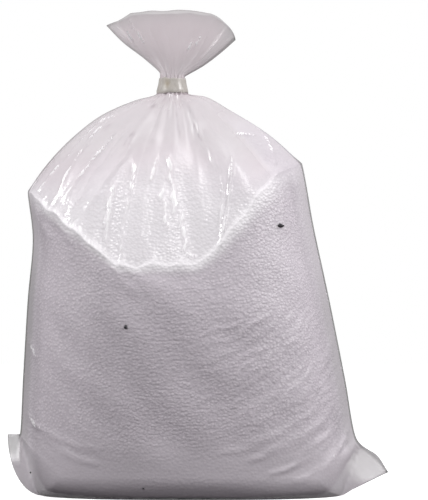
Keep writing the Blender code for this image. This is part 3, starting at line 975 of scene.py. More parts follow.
@dataclass(frozen=True)
class FilmFinish:
    """Clear polythene with a faint pink haze, dimpled over beads and milky in layers, with painted light and
    shade.

    Grains stretch a noise over the film's map, and spans are the start and end of smooth steps. The painted
    glint is the broken white of a highlight painted along a crease. Painted shade darkens the gaps between the
    dimples, the foot, the sides, the fold lines and the tuft's edges, and painted light whitens the film over
    the heap. Each alpha and roughness is what a look adds where it is full.
    """

    tint: Colour = (0.88, 0.815, 0.87)
    layered: Colour = (0.69, 0.595, 0.635)
    # painted grey shade on the side folds and the tuft's edges
    rim: Colour = (0.42, 0.4, 0.413)
    # painted shade: a thin dark line along the side folds, the ears' feet and the mouth
    hem_shade: Colour = (0.24, 0.25, 0.23)
    # painted highlights on the creases, and painted light over the heap
    white: Colour = (0.97, 0.95, 0.97)
    # painted shade between the dimples that the beads press into the film
    gap: Colour = (0.71, 0.655, 0.71)
    # painted shade on the foot, the slack corner, the sides, the right ear, a patch of the front and a few
    # lines
    foot: Colour = (0.62, 0.57, 0.62)
    filled_alpha: float = 0.62
    loose_alpha: float = 0.27
    milky_alpha: float = 0.55
    crease_alpha: float = 0.6
    hem_alpha: float = 0.35
    cloud_alpha: float = 0.1
    most_alpha: float = 0.97
    clear_roughness: float = 0.13
    crumple_roughness: float = 0.08
    filled_roughness: float = 0.36
    layer_roughness: float = 0.12
    rim_roughness: float = 0.1
    smooth_roughness: float = 0.2
    dull_roughness: float = 0.45
    streak_grain: Triple = (90.0, 6.0, 1.0)
    crumple_grain: Triple = (40.0, 22.0, 1.0)
    crackle_grain: Triple = (210.0, 120.0, 1.0)
    dimple_stretch: Triple = (1.0, 1.0, 1.25)
    dimples_per_metre: float = 240.0
    clouds_per_metre: float = 24.0
    dimple_edge: Span = (0.12, 0.5)
    crackle: float = 1.3
    painted_glint_edge: Span = (0.36, 0.62)
    painted_glint_crease: Span = (0.04, 0.3)
    lifted_crease: Span = (0.03, 0.25)
    heaped_dimples: float = 0.75
    # how far painted light whitens the film over the heap
    heaped_white: float = 0.7
    streak_height: float = 0.05
    crumple_height: float = 0.24
    layer_calm: float = 0.6
    dimple_height: float = 0.5
    bump_depth: float = 0.0011
    bump_strength: float = 0.9

    def material(self) -> bpy.types.Material:
        """Builds the material, which reads the numbers stored on the film and its map named film."""
        sheet = ShaderSheet("clear_polythene")
        loose, milk, crease = sheet.stored("loose"), sheet.stored("milk"), sheet.stored("crease")
        layer, rim, smooth = sheet.stored("layer"), sheet.stored("rim"), sheet.stored("smooth")
        hem_shade, deep, dull, heaped = (sheet.stored(name) for name in ("hem_shade", "deep", "dull", "heaped"))
        flat = sheet.flat_place("film")
        streak = sheet.noise(sheet.scaled(flat, self.streak_grain), 1.0, 2.0, 0.3)
        crumple = sheet.noise(sheet.scaled(flat, self.crumple_grain), 1.0, 3.0, 0.8)
        dimple = sheet.cells(sheet.scaled(sheet.place(), self.dimple_stretch), self.dimples_per_metre)
        ridge = 1 - abs(streak * 2 - 1)
        cloud = sheet.noise(sheet.place(), self.clouds_per_metre, 3.0)
        crackle = sheet.noise(sheet.scaled(flat, self.crackle_grain), 1.0, 2.0, 1.2)
        # painted highlights: broken white glints along the creases, the wrinkles and the beads' edge
        painted_glint = (crease + (crackle - 0.5) * self.crackle).stepped(*self.painted_glint_edge)
        painted_glint = painted_glint * crease.stepped(*self.painted_glint_crease)
        over_heap = heaped * loose * (1 - crease.stepped(*self.lifted_crease)) * self.heaped_dimples
        clinging = (1 - loose) * (1 - smooth) + over_heap

        alpha = self.filled_alpha + (self.loose_alpha - self.filled_alpha) * loose
        alpha = alpha + milk * self.milky_alpha + painted_glint * self.crease_alpha + hem_shade * self.hem_alpha
        alpha = alpha + (cloud - 0.5) * loose * self.cloud_alpha
        colour = sheet.mixed(layer, self.tint, self.layered)
        # painted shade between the dimples
        colour = sheet.mixed((dimple.stepped(*self.dimple_edge) * clinging).clipped(), colour, self.gap)
        # painted shade on the foot, the slack corner, the sides, the right ear, a patch of the front and a few
        # lines
        colour = sheet.mixed((deep + sheet.stored("shade")).clipped(), colour, self.foot)
        # painted light whitens the film over the heap and the stuffed ear
        colour = sheet.mixed(heaped * self.heaped_white, colour, self.white)
        # painted grey shade on the side folds and the tuft's edges
        colour = sheet.mixed(rim, colour, self.rim)
        # painted highlights along the creases, the wrinkles and the beads' edge
        colour = sheet.mixed(painted_glint, colour, self.white)
        # painted shade: a thin dark line along the side folds, the ears' feet and the mouth
        colour = sheet.mixed(hem_shade, colour, self.hem_shade)
        roughness = self.clear_roughness + crumple * self.crumple_roughness
        roughness = roughness + (1 - loose) * self.filled_roughness
        roughness = roughness + layer * self.layer_roughness + rim * self.rim_roughness
        roughness = roughness + smooth * self.smooth_roughness + hem_shade + dull * self.dull_roughness
        wrinkled = (ridge * self.streak_height + crumple * self.crumple_height) * loose
        height = wrinkled * (1 - layer * self.layer_calm) + (1 - dimple) * clinging * self.dimple_height
        sheet.set(
            Base_Color=colour,
            Alpha=alpha.clipped(0.0, self.most_alpha),
            Roughness=roughness.clipped(),
            Normal=sheet.bumped(height, self.bump_depth, self.bump_strength),
            IOR=1.7,
            Specular_IOR_Level=0.9,
        )
        return sheet.material


@dataclass(frozen=True)
class BeadFinish:
    """Matt white foam with a faint pink cast, each bead a little lighter or darker than the next."""

    light: Colour = (0.93, 0.88, 0.925)
    dark: Colour = (0.8, 0.755, 0.8)
    shaded: Colour = (0.88, 0.83, 0.88)
    shaded_per_metre: float = 215.0
    shaded_edge: Span = (0.1, 0.8)
    shaded_depth: float = 0.002

    def material(self) -> bpy.types.Material:
        """Builds the material of the beads, which reads the stored tone."""
        sheet = ShaderSheet("white_foam_beads")
        colour = sheet.mixed(sheet.stored("tone"), self.dark, self.light)
        sheet.set(Base_Color=colour, Roughness=0.72, Specular_IOR_Level=0.3)
        return sheet.material

    def core_material(self) -> bpy.types.Material:
        """Builds the material of the shaded beads behind the outer ones."""
        sheet = ShaderSheet("shaded_foam_beads")
        cell = sheet.cells(sheet.place(), self.shaded_per_metre)
        colour = sheet.mixed(cell.stepped(*self.shaded_edge), self.light, self.shaded)
        sheet.set(Base_Color=colour, Roughness=0.85, Normal=sheet.bumped(1 - cell, self.shaded_depth))
        return sheet.material


@dataclass(frozen=True)
class TapeFinish:
    """Clear tape gone faintly yellow, with stuck-down creases and trapped air."""

    tint: Colour = (0.64, 0.605, 0.56)
    pale: Colour = (0.68, 0.655, 0.62)
    brown: Colour = (0.42, 0.35, 0.25)
    alpha: float = 0.6
    fold_alpha: float = 0.1
    mark_alpha: float = 0.3
    air_alpha: float = 0.3
    roughness: float = 0.26
    air_roughness: float = 0.16
    air_per_metre: float = 320.0
    air_stretch: Triple = (1.0, 1.0, 0.4)
    air_edge: Span = (0.45, 0.75)
    fold_height: float = 0.3
    bump_depth: float = 0.0003

    def material(self) -> bpy.types.Material:
        """Builds the material, which reads the stored fold and mark."""
        sheet = ShaderSheet("clear_tape")
        fold, mark = sheet.stored("fold"), sheet.stored("mark")
        air = sheet.noise(sheet.scaled(sheet.place(), self.air_stretch), self.air_per_metre, 3.0)
        colour = sheet.mixed(air.stepped(*self.air_edge), self.tint, self.pale)
        alpha = self.alpha + fold * self.fold_alpha + mark * self.mark_alpha + (air - 0.5) * self.air_alpha
        sheet.set(
            Base_Color=sheet.mixed(mark, colour, self.brown),
            Alpha=alpha.clipped(),
            Roughness=(self.roughness + air * self.air_roughness).clipped(),
            Normal=sheet.bumped(air + fold * self.fold_height, self.bump_depth, 0.8),
            Specular_IOR_Level=0.5,
        )
        return sheet.material


@dataclass(frozen=True)
class GritFinish:
    """Dark grit, uneven and dull."""

    dark: Colour = (0.035, 0.032, 0.038)
    worn: Colour = (0.2, 0.19, 0.2)
    grains_per_metre: float = 900.0
    worn_edge: Span = (0.5, 0.8)

    def material(self) -> bpy.types.Material:
        """Builds the material."""
        sheet = ShaderSheet("dark_grit")
        grain = sheet.noise(sheet.place(), self.grains_per_metre)
        colour = sheet.mixed(grain.stepped(*self.worn_edge), self.dark, self.worn)
        sheet.set(Base_Color=colour, Roughness=0.6)
        return sheet.material


# Film


def ridge_shape(off: Array) -> Pair:
    """A tent that falls to 0 at a distance of 1 from its line, and a painted mark that is full near the line.
    """
    return np.clip(1 - off, 0, 1), np.clip(1.3 - 1.5 * off, 0, 1)


@dataclass(frozen=True)
class Crease:
    """A fold line of the free film with a painted highlight, from a low place to a high one, each as (place,
    turn).
    """

    low: Span
    high: Span
    height: float
    width: float
    bend: float = 0.0
    # strength of the highlight painted white along the crease
    painted_mark: float = 0.6

    def shape(self, spots: Spots, metres: Array) -> Pair:
        """The crease as a tent over its line, and how strongly a highlight is painted white along it.

        Its line runs straight from the low end to the high one in place and turn, with a slight random
        bend. The tent falls to nothing at its width on both sides, and tapers at both ends.

        Args:
            spots: Points of the main form.
            metres: Metres for each radian of turn.

        Returns:
            Heights in metres, and painted highlight from 0 to 1.
        """
        share = (spots.place - self.low[0]) / (self.high[0] - self.low[0])
        seed = int(1000 * self.low[1] + 10 * self.high[0])
        bends = self.bend * Wander(seed, (1.0, 2.3, 4.1)).at(share * 6)
        line = between(self.low[1], self.high[1], share) + bends
        tent, white = ridge_shape(np.abs(apart(spots.turn, line)) * metres / self.width)
        ends = eased(-0.02, 0.16, share) * (1 - eased(0.84, 1.02, share))
        beat = 0.75 + 0.25 * Wander(seed + 1, (1.0, 2.7)).at(share * 9)
        return self.height * tent * ends * beat, self.painted_mark * white * ends * beat


@dataclass(frozen=True)
class Wrinkle:
    """A fine ridge of the filled film in front with a painted mark, along a line through points given by x and
    z.
    """

    line: tuple[Span, ...]
    height: float
    width: float
    # strength of the painted mark: a highlight on the film's wrinkles and shade on the painted shadow lines
    painted_mark: float = 0.5

    def shape(self, spots: Spots) -> Pair:
        """The wrinkle as a tent over its line, and how strongly a mark is painted along it.

        The tent falls to nothing at its width from the nearest point of the line, as seen from the front,
        and tapers at both ends of the line.

        Args:
            spots: Points of the main form.

        Returns:
            Heights in metres, and the painted mark from 0 to 1.
        """
        x, z = spots.points[..., 0], spots.height
        near, along = np.full(x.shape, np.inf), np.zeros(x.shape)
        for k, (start, end) in enumerate(zip(self.line, self.line[1:])):
            way = (end[0] - start[0], end[1] - start[1])
            share = ((x - start[0]) * way[0] + (z - start[1]) * way[1]) / (way[0] ** 2 + way[1] ** 2)
            share = np.clip(share, 0, 1)
            off = np.hypot(x - start[0] - share * way[0], z - start[1] - share * way[1])
            along = np.where(off < near, k + share, along)
            near = np.minimum(near, off)
        along = along / (len(self.line) - 1)
        kept = eased(0.0, 0.25, along) * (1 - eased(0.75, 1.0, along)) * spots.is_front
        tent, white = ridge_shape(near / self.width)
        return self.height * tent * kept, self.painted_mark * white * kept


@dataclass(frozen=True)
class BeadEdge:
    """The film's lip and crinkles where it leaves the beads.

    Widths are in places or in radians of turn, and shines and lively are the middle, width and strength of
    bells over the angle from the left end, on which the crinkles get painted highlights or stand up.
    """

    lip: float = 0.0005
    lip_width: float = 0.2
    crinkle: float = 0.0011
    crinkle_width: float = 0.085
    broad: Wander = Wander(31, (61, 74, 93, 47))
    fine: Wander = Wander(32, (113, 138, 97))
    fine_share: float = 0.5
    puckers: Wander = Wander(33, (83, 55, 104))
    pucker_above: float = 0.12
    pucker_share: float = 0.6
    lively: Triple = (0.85, 0.45, 0.84)
    wave: float = 0.002
    waves: Wander = Wander(34, (9, 14, 23, 31))
    white_width: float = 0.06
    second_above: float = 0.1
    second_width: float = 0.07
    second_share: float = 0.6
    white_crest: float = 0.3
    shines: tuple[Triple, ...] = ((0.95, 0.34, 0.62), (2.3, 0.34, 0.4))
    least_shine: float = 0.02

    def shape(self, spots: Spots) -> tuple[Array, Array, Array]:
        """How far the edge stands out, how far it is lifted, and how much highlight is painted on it.

        The lip is a bell over the edge. On it stand short crinkles, which are one less the size of two random
        curves, with puckers just above them, and the whole edge wanders up and down a little. Highlights are
        painted white on the crests of the crinkles, in two lines.

        Args:
            spots: Points of the main form.

        Returns:
            Heights out of the surface, lifts in z, and painted highlight.
        """
        edge, place, turn = float(Place.EDGE.value), spots.place, spots.turn
        near, close = hump(edge, self.lip_width, place), hump(edge, self.crinkle_width, place)
        broad, fine = (np.clip(1 - np.abs(curve.at(turn)), -0.5, 1) for curve in (self.broad, self.fine))
        crinkle = broad + self.fine_share * fine
        pucker = hump(edge + self.pucker_above, self.pucker_above, place) * self.puckers.at(turn)
        from_left = np.minimum(turn, FULL_TURN - turn)
        middle, width, strength = self.lively
        calm = 1 - strength + strength * hump(middle, width, from_left)
        height = self.lip * near + self.crinkle * calm * (close * crinkle + self.pucker_share * pucker)
        lift = self.wave * near * self.waves.at(turn)
        shine = sum(share * hump(middle, width, from_left) for middle, width, share in self.shines)
        lines = hump(edge, self.white_width, place)
        lines = lines + self.second_share * hump(edge + self.second_above, self.second_width, place)
        # painted highlights on the crinkles' crests
        white = lines * np.clip(crinkle - self.white_crest, 0, 1) * (shine + self.least_shine)
        return height, lift, white


@dataclass(frozen=True)
class FilmLooks:
    """The numbers that the film's finish reads, as smooth steps over places, heights and the ends of a ring.

    A span lies over places unless its name says another thing. Those of heap_turn, the painted shade patch and
    dull are the middle and width of a bell. A dimming is how strongly the painted shade of a side shows, and
    how much less low down and high up.
    """

    body: Span = (5.6, 6.3)
    above_foot: Span = (1.6, 2.0)
    ear: Span = (1.5, 2.0)
    ear_ends: Span = (0.86, 0.93)
    stuffed_heights: Span = (0.03, 0.05)
    stuffed_reach: Span = (-0.2175, -0.2125)
    stuffed_share: float = 0.85
    band_ends: Span = (0.88, 0.945)
    shade_ends: Span = (0.893, 0.925)
    fold_ends: Span = (0.926, 0.962)
    fold_shift: float = 0.01
    smooth_ends: Span = (0.93, 0.97)
    hem_ends: Span = (0.986, 0.994)
    hem_foot: Span = (0.0, 0.15)
    low_heights: Span = (0.03, 0.095)
    dim_left_low: Span = (0.1, 0.17)
    dim_left_high: Span = (0.25, 0.31)
    dim_right_low: Span = (0.08, 0.14)
    dim_right_high: Span = (0.22, 0.29)
    dim_left: Triple = (1.0, 0.4, 0.5)
    dim_right: Triple = (0.72, 0.15, 0.3)
    corner_across: Span = (0.77, 0.83)
    corner_from: Span = (5.8, 6.1)
    corner_to: Span = (7.0, 8.2)
    deep_across: Span = (0.66, 0.9)
    leaving: Span = (5.9, 6.15)
    heap_lift: float = 0.026
    heap_turn: Span = (1.55, 0.6)
    painted_shade_patch_turn: Span = (1.35, 0.42)
    painted_shade_patch_place: Span = (4.2, 1.6)
    dull_place: Span = (6.0, 0.06)
    dull_across: Span = (0.0, 0.75)
    heap_from: Span = (5.6, 5.98)
    heap_heights: Span = (0.325, 0.41)
    haze_from: Span = (5.62, 6.05)
    haze_heights: Span = (0.36, 0.43)
    veil: Span = (6.4, 8.0)
    veil_sides: Span = (6.0, 6.4)
    veil_ends: Span = (0.55, 0.8)
    tuft: Span = (8.6, 11.0)
    mouth: Span = (14.3, 15.0)
    mouth_hem: Span = (14.9, 15.0)
    tuft_sides: Span = (12.0, 12.6)
    tuft_ends: Span = (0.8, 0.97)
    # painted shadows: dark lines below the left side of the beads' edge, which add to the shade and raise no
    # ridge
    streaks: tuple[Wrinkle, ...] = (
        Wrinkle(((-0.121, 0.2868), (-0.1065, 0.2662), (-0.0871, 0.2396)), 0.0, 0.0085, 0.42),
        Wrinkle(((-0.0968, 0.2456), (-0.0823, 0.2323), (-0.0726, 0.2166)), 0.0, 0.007, 0.22),
    )

    def side(self, spots: Spots) -> Array:
        """The filled body above its foot."""
        return spots.short_of(self.body) * spots.past(self.above_foot)

    def dimming(self, spots: Spots) -> Array:
        """How strongly each side's painted shade shows, by height: less near the floor and near the shoulder.

        Args:
            spots: The film's points.

        Returns:
            Shares of the full strength.
        """
        shown = []
        for (most, low, high), below, above in (
            (self.dim_left, self.dim_left_low, self.dim_left_high),
            (self.dim_right, self.dim_right_low, self.dim_right_high),
        ):
            shown.append(most - low * (1 - eased(*below, spots.height)) - high * eased(*above, spots.height))
        return np.where(spots.across < 0, *shown)

    def ears(self, spots: Spots) -> Pair:
        """The flat ears of the lower corners, and the part of the left one into which beads have slipped.

        Args:
            spots: The film's points.

        Returns:
            How far they are ear, and how far stuffed ear.
        """
        ear = eased(*self.ear_ends, spots.ends) * spots.short_of(self.ear)
        low = 1 - eased(*self.stuffed_heights, spots.height)
        outer = eased(*self.stuffed_reach, spots.points[..., 0])
        stuffed = ear * np.maximum(low, outer) * (spots.across < 0)
        return ear - self.stuffed_share * stuffed, stuffed

    def corner(self, spots: Spots) -> Array:
        """The slack film over the front of the right end of the beads' edge."""
        reach = spots.past(self.corner_from) * spots.short_of(self.corner_to)
        return eased(*self.corner_across, spots.across) * reach * spots.is_front

    def numbers(self, spots: Spots) -> dict[str, Array]:
        """What the finish reads, by name.

        loose is where the film is off the beads, milk how far it hides what is behind, layer how far it is
        the pink of many layers, rim how far painted grey shade darkens the side folds and the tuft's edges,
        smooth where the dimples stop, hem the thin dark line of painted shade along the fold down each side,
        at the ears' feet and at the mouth, deep how far painted shade darkens the foot and the slack corner,
        shade how far painted shade darkens the sides, a patch of the front, the right ear and a few lines,
        dull where the bend over the beads' edge is too soft to shine, and heaped where the loose film lies
        close over the heap, which also gets painted light there and on the stuffed ear.

        Args:
            spots: The film's points.

        Returns:
            Arrays from 0 to 1.
        """
        ends, across, height = spots.ends, spots.across, spots.height
        is_right = across > 0
        side, dim, corner = self.side(spots), self.dimming(spots), self.corner(spots)
        ear, stuffed = self.ears(spots)
        body = spots.short_of(self.body)
        low = (1 - eased(*self.low_heights, height)) * body * (1 - ear)
        fold = eased(*self.fold_ends, ends + self.fold_shift * is_right) * side
        above = height - self.heap_lift * hump(*self.heap_turn, spots.turn)
        haze = spots.past(self.haze_from) * (1 - eased(*self.haze_heights, above))
        heap = spots.past(self.heap_from) * (1 - eased(*self.heap_heights, above))
        veil_sides = 0.9 * eased(*self.veil_ends, ends) * spots.past(self.veil_sides)
        veil = np.maximum(spots.past(self.veil), veil_sides)
        tuft = spots.past(self.tuft)
        mouth = spots.past(self.mouth) + eased(*self.tuft_ends, ends) * spots.past(self.tuft_sides)
        # a broad patch of painted shade on the front, left of the middle, with no dent in the film
        painted_shade_patch = hump(*self.painted_shade_patch_turn, spots.turn) * hump(*self.painted_shade_patch_place, spots.place)
        dull = hump(*self.dull_place, spots.place) * np.maximum(hump(*self.dull_across, across), 0.5)
        shaded_side = eased(*self.shade_ends, ends) * side * (1 - low) * dim
        # painted shadow lines, added to the shade
        streak = sum(line.shape(spots)[1] for line in self.streaks)
        looks = {
            "loose": (spots.past(self.leaving) + ear) * (1 - 0.8 * corner),
            "milk": 0.6 * eased(*self.band_ends, ends) * side
            + (0.05 + 0.3 * is_right) * ear
            + 0.6 * stuffed
            + 0.25 * low
            + 0.32 * veil
            + 0.28 * tuft
            + 0.95 * haze,
            "layer": tuft + 0.5 * ear * is_right + 0.62 * veil,
            "dull": dull + corner,
            # heaped also carries painted light onto the film over the heap and the stuffed ear
            "heaped": heap * (1 - 0.5 * corner) + 0.4 * stuffed,
            # painted grey shade on the side folds and the tuft's edges
            "rim": 0.78 * fold * dim + 0.35 * mouth,
            "smooth": 0.65 * low + 0.45 * eased(*self.smooth_ends, ends) * body * (1 - low) + ear,
            "shade": 0.48 * painted_shade_patch + 0.95 * shaded_side + 0.05 * stuffed + 0.45 * ear * is_right + streak,
            # painted shade: thin dark lines along the side folds, the ears' feet and the mouth
            "hem_shade": eased(*self.hem_ends, ends) * (0.2 * side + 0.5)
            + 0.4 * ear * spots.short_of(self.hem_foot)
            + 0.5 * spots.past(self.mouth_hem),
            # painted shade on the foot and on the slack corner
            "deep": 0.75 * low * (1 - stuffed) * (1 - 0.75 * eased(*self.deep_across, across)) + 0.9 * corner,
        }
        return {name: np.clip(values, 0, 1) for name, values in looks.items()}


@dataclass(frozen=True)
class SpareCreases:
    """Random creases of the free film, one in a few of them in front and the rest behind.

    Front and behind each give the turn in the middle, the margin to both sides of it, and the strength.
    Creases start on a span of places, are a span of places long, and end by the neck.
    """

    seed: int = 77
    count: int = 26
    front_every: int = 6
    front: Triple = (0.5 * math.pi, 0.6, 0.4)
    behind: Triple = (1.5 * math.pi, 0.45, 0.9)
    starts: Span = (6.0, 8.0)
    lengths: Span = (1.0, 2.6)
    neck: float = 9.8
    lean: float = 0.06
    stray: float = 0.1
    height: float = 0.003
    width: float = 0.0055
    least_width: float = 0.0015
    bend: float = 0.014
    # strength of the highlight painted along each crease
    painted_mark: float = 0.5

    def creases(self) -> list[Crease]:
        """The creases, which lean towards the middle of their side as they rise, and stray a little."""
        rng = np.random.default_rng(self.seed)
        made = []
        for k in range(self.count):
            middle, margin, strength = self.front if k % self.front_every == 0 else self.behind
            half = math.pi / 2 - margin
            turn = rng.uniform(middle - half, middle + half)
            low = rng.uniform(*self.starts)
            high = min(low + rng.uniform(*self.lengths), self.neck)
            lean = (turn - middle) * self.lean + rng.uniform(-self.stray, self.stray)
            size = rng.uniform(0.5, 1.0) * strength
            width = self.width * size + self.least_width
            ends = (low, turn), (high, turn - lean)
            made.append(Crease(*ends, self.height * size, width, self.bend, self.painted_mark * size))
        return made


@dataclass(frozen=True)
class FilmSheet:
    """The film from its weld to the mouth of the tuft.

    Rows are the rows of points between neighbouring stations. They are crowded towards the beads' edge.
    """

    form: BagForm
    relief: Relief
    edge: BeadEdge = BeadEdge()
    looks: FilmLooks = FilmLooks()
    finish: FilmFinish = FilmFinish()
    around: int = 400
    rows: tuple[int, ...] = (5, 10, 32, 32, 14, 18, 26, 24, 18, 12, 8, 4, 12, 15, 15)
    row_crowding: float = 1.6
    calm_sharpness: int = 24
    loose_from: Span = (6.0, 6.4)
    loose_to: Span = (9.6, 10.0)
    wrinkled_to: Span = (5.7, 5.95)
    softness: float = 0.0009
    soft_radius: float = 0.12
    soft_folds: Ripple = Ripple(51, 0.055, (-0.25, 0.25))
    tuft_from: Span = (12.2, 14.0)
    droop: float = 0.003
    droop_ends: Span = (0.25, 0.68)
    corner_ends: Span = (0.8, 1.0)
    mouth_wave: float = 0.0006
    mouth_waves: Wander = Wander(61, (5, 9, 16))
    creases: tuple[Crease, ...] = (
        Crease((6.25, 0.61), (7.95, 0.47), 0.0022, 0.0042, 0.006, 0.7),
        Crease((6.25, 0.68), (8.0, 0.76), 0.0022, 0.0042, 0.006, 0.6),
        Crease((6.15, 1.13), (7.25, 1.03), 0.003, 0.0048, 0.008, 0.9),
        Crease((6.2, 1.24), (7.2, 1.2), 0.0018, 0.0032, 0.006, 0.6),
        Crease((7.2, 1.21), (7.7, 1.14), 0.002, 0.0045, 0.004, 0.8),
        Crease((7.4, 1.41), (7.9, 1.43), 0.0018, 0.0035, 0.004, 0.8),
        Crease((6.05, 1.78), (7.0, 1.7), 0.0024, 0.0036, 0.02, 0.9),
        Crease((6.8, 1.69), (7.95, 1.6), 0.0024, 0.004, 0.02, 0.9),
        Crease((6.6, 1.6), (7.4, 1.54), 0.002, 0.0034, 0.016, 0.8),
        Crease((6.1, 1.83), (8.9, 2.1), 0.0014, 0.017, 0.01, 0.12),
        Crease((5.85, 1.93), (7.15, 2.31), 0.0026, 0.0036, 0.006, 0.9),
        Crease((6.1, 1.97), (6.95, 2.15), 0.002, 0.0032, 0.006, 0.7),
        Crease((6.15, 2.53), (7.35, 2.92), 0.0026, 0.0055, 0.006, 0.7),
        Crease((7.05, 2.66), (7.4, 2.44), 0.002, 0.005, 0.004, 0.9),
        Crease((7.7, 0.3), (8.2, 0.5), 0.002, 0.005, 0.004, 0.9),
        Crease((6.05, 0.36), (6.8, 0.39), 0.0022, 0.005, 0.004, 0.9),
        Crease((6.6, 0.44), (8.3, 0.33), 0.0016, 0.0036, 0.004, 0.5),
        Crease((6.3, 0.9), (8.2, 1.02), 0.0014, 0.009, 0.006, 0.1),
        Crease((6.2, 1.4), (8.6, 1.3), 0.0014, 0.012, 0.008, 0.1),
        Crease((13.9, 0.62), (14.5, 0.66), 0.0008, 0.0028, 0.004, 0.9),
        Crease((13.6, 0.84), (14.3, 0.88), 0.0009, 0.0024, 0.004, 0.9),
        Crease((14.3, 0.8), (14.8, 0.84), 0.0006, 0.0022, 0.004, 0.7),
        Crease((13.2, 1.98), (13.7, 2.04), 0.0008, 0.0026, 0.006, 0.8),
        Crease((13.5, 2.16), (14.0, 2.2), 0.0008, 0.0024, 0.006, 0.8),
    )
    spare_creases: SpareCreases = SpareCreases()
    wrinkles: tuple[Wrinkle, ...] = (
        Wrinkle(((-0.2055, 0.194), (-0.1985, 0.178), (-0.192, 0.163)), 0.0012, 0.005, 0.5),
        Wrinkle(((-0.206, 0.104), (-0.194, 0.087), (-0.184, 0.08)), 0.0014, 0.0055, 0.55),
        Wrinkle(((-0.198, 0.091), (-0.17, 0.073), (-0.14, 0.063), (-0.106, 0.058)), 0.0013, 0.005, 0.1),
        Wrinkle(((-0.17, 0.06), (-0.14, 0.047), (-0.11, 0.04)), 0.0011, 0.005, 0.08),
        Wrinkle(((0.185, 0.094), (0.175, 0.068), (0.16, 0.047), (0.143, 0.03)), 0.0017, 0.006, 0.22),
        Wrinkle(((0.168, 0.078), (0.145, 0.056), (0.118, 0.041), (0.09, 0.032)), 0.001, 0.0052, 0.1),
        Wrinkle(((0.169, 0.09), (0.15, 0.07), (0.125, 0.054), (0.095, 0.044)), 0.001, 0.005, 0.1),
        Wrinkle(((0.162, 0.104), (0.136, 0.08), (0.105, 0.064), (0.07, 0.056)), 0.001, 0.005, 0.08),
        Wrinkle(((0.156, 0.124), (0.13, 0.098), (0.095, 0.078), (0.06, 0.068)), 0.0009, 0.005, 0.06),
        Wrinkle(((0.164, 0.196), (0.156, 0.168), (0.14, 0.148)), 0.001, 0.006, 0.05),
        Wrinkle(((-0.1936, 0.3485), (-0.1863, 0.3231), (-0.1694, 0.3013)), 0.0008, 0.006, 0.3),
        Wrinkle(((-0.1791, 0.34), (-0.1597, 0.3182), (-0.1428, 0.294)), 0.0008, 0.006, 0.25),
        Wrinkle(((0.0544, 0.046), (0.0774, 0.0508), (0.0992, 0.0629)), 0.001, 0.005, 0.04),
        Wrinkle(((0.0774, 0.029), (0.1053, 0.0351), (0.127, 0.0484)), 0.0011, 0.005, 0.06),
        Wrinkle(((0.1041, 0.0181), (0.1283, 0.0254), (0.1488, 0.0399)), 0.0009, 0.005, 0.04),
        Wrinkle(((0.1234, 0.0786), (0.1404, 0.0859), (0.1561, 0.0956)), 0.0009, 0.0045, 0.05),
        Wrinkle(((0.1331, 0.0653), (0.15, 0.0714), (0.1646, 0.0859)), 0.001, 0.0045, 0.08),
        Wrinkle(((0.0508, 0.0653), (0.0799, 0.0702), (0.1077, 0.0823)), 0.0009, 0.0045, 0.04),
        Wrinkle(((0.0206, 0.0557), (0.0508, 0.0581), (0.0774, 0.0665)), 0.0008, 0.0045, 0.04),
        Wrinkle(((-0.1028, 0.2819), (-0.0871, 0.2565), (-0.0678, 0.2347)), 0.0012, 0.008, 0.0),
    )

    def spread(self) -> Pair:
        """Places of the rows and turns of the columns, with rows closer together near the beads' edge."""
        places = []
        for start, count in enumerate(self.rows):
            share = np.arange(count) / count
            if start == Place.PINCH.value:
                share = 1 - (1 - share) ** self.row_crowding
            if start == Place.EDGE.value:
                share = share**self.row_crowding
            places.append(start + share)
        places.append(np.array([float(Place.MOUTH.value)]))
        return np.concatenate(places), np.arange(self.around) * FULL_TURN / self.around

    def mouth_lift(self, spots: Spots) -> Array:
        """How far the tuft's mouth waves up and down, and droops on both sides of its middle."""
        droop = self.droop * eased(*self.droop_ends, spots.ends) * (1 - eased(*self.corner_ends, spots.ends))
        wave = self.mouth_wave * self.mouth_waves.at(spots.turn) * np.sin(spots.turn) ** 2
        return spots.past(self.tuft_from) * (wave - droop)

    def heights(self, spots: Spots, metres: Array) -> tuple[Array, Array, Array]:
        """How far the film stands out of its main form, its lift in z and the highlights painted on it.

        It is the sum of the lip over the beads' edge, the relief that it shares with the beads, soft upright
        folds of the free film, and the tents of all creases and wrinkles. All but the lift fade to both ends.

        Args:
            spots: Points of the main form.
            metres: Metres for each radian of turn.

        Returns:
            Heights, lifts and painted highlights, an array of each.
        """
        height, lift, white = self.edge.shape(spots)
        calm = 1 - spots.across**self.calm_sharpness
        height = (height + self.relief.height(spots)) * calm
        loose = spots.past(self.loose_from) * spots.short_of(self.loose_to)
        soft = self.soft_folds.at(spots.turn * self.soft_radius, spots.height) * self.softness
        height = height + loose * calm * soft
        filled = calm * spots.short_of(self.wrinkled_to)
        creases = [*self.creases, *self.spare_creases.creases()]
        ridges = [(*crease.shape(spots, metres), calm) for crease in creases]
        ridges += [(*wrinkle.shape(spots), filled) for wrinkle in self.wrinkles]
        # the highlights painted along the beads' edge, the creases and the wrinkles gather here
        for ridge, line, kept in ridges:
            height, white = height + ridge * kept, np.maximum(white, line * kept)
        return height, lift + self.mouth_lift(spots), np.clip(white, 0, 1)

    def build(self) -> Piece:
        """The film as one sheet, closed along the weld and open at the mouth.

        Returns:
            The piece, with the numbers that its finish reads and its map named film.
        """
        rows, columns = self.spread()
        place, turn = np.meshgrid(rows, columns, indexing="ij")
        points = self.form.surface(place, turn)
        way, metres = self.form.outward(place, turn)
        height, lift, white = self.heights(Spots(place, turn, points), metres)
        points = points + way * height[..., None]
        points[..., 2] = np.maximum(points[..., 2] + lift, 0.0)

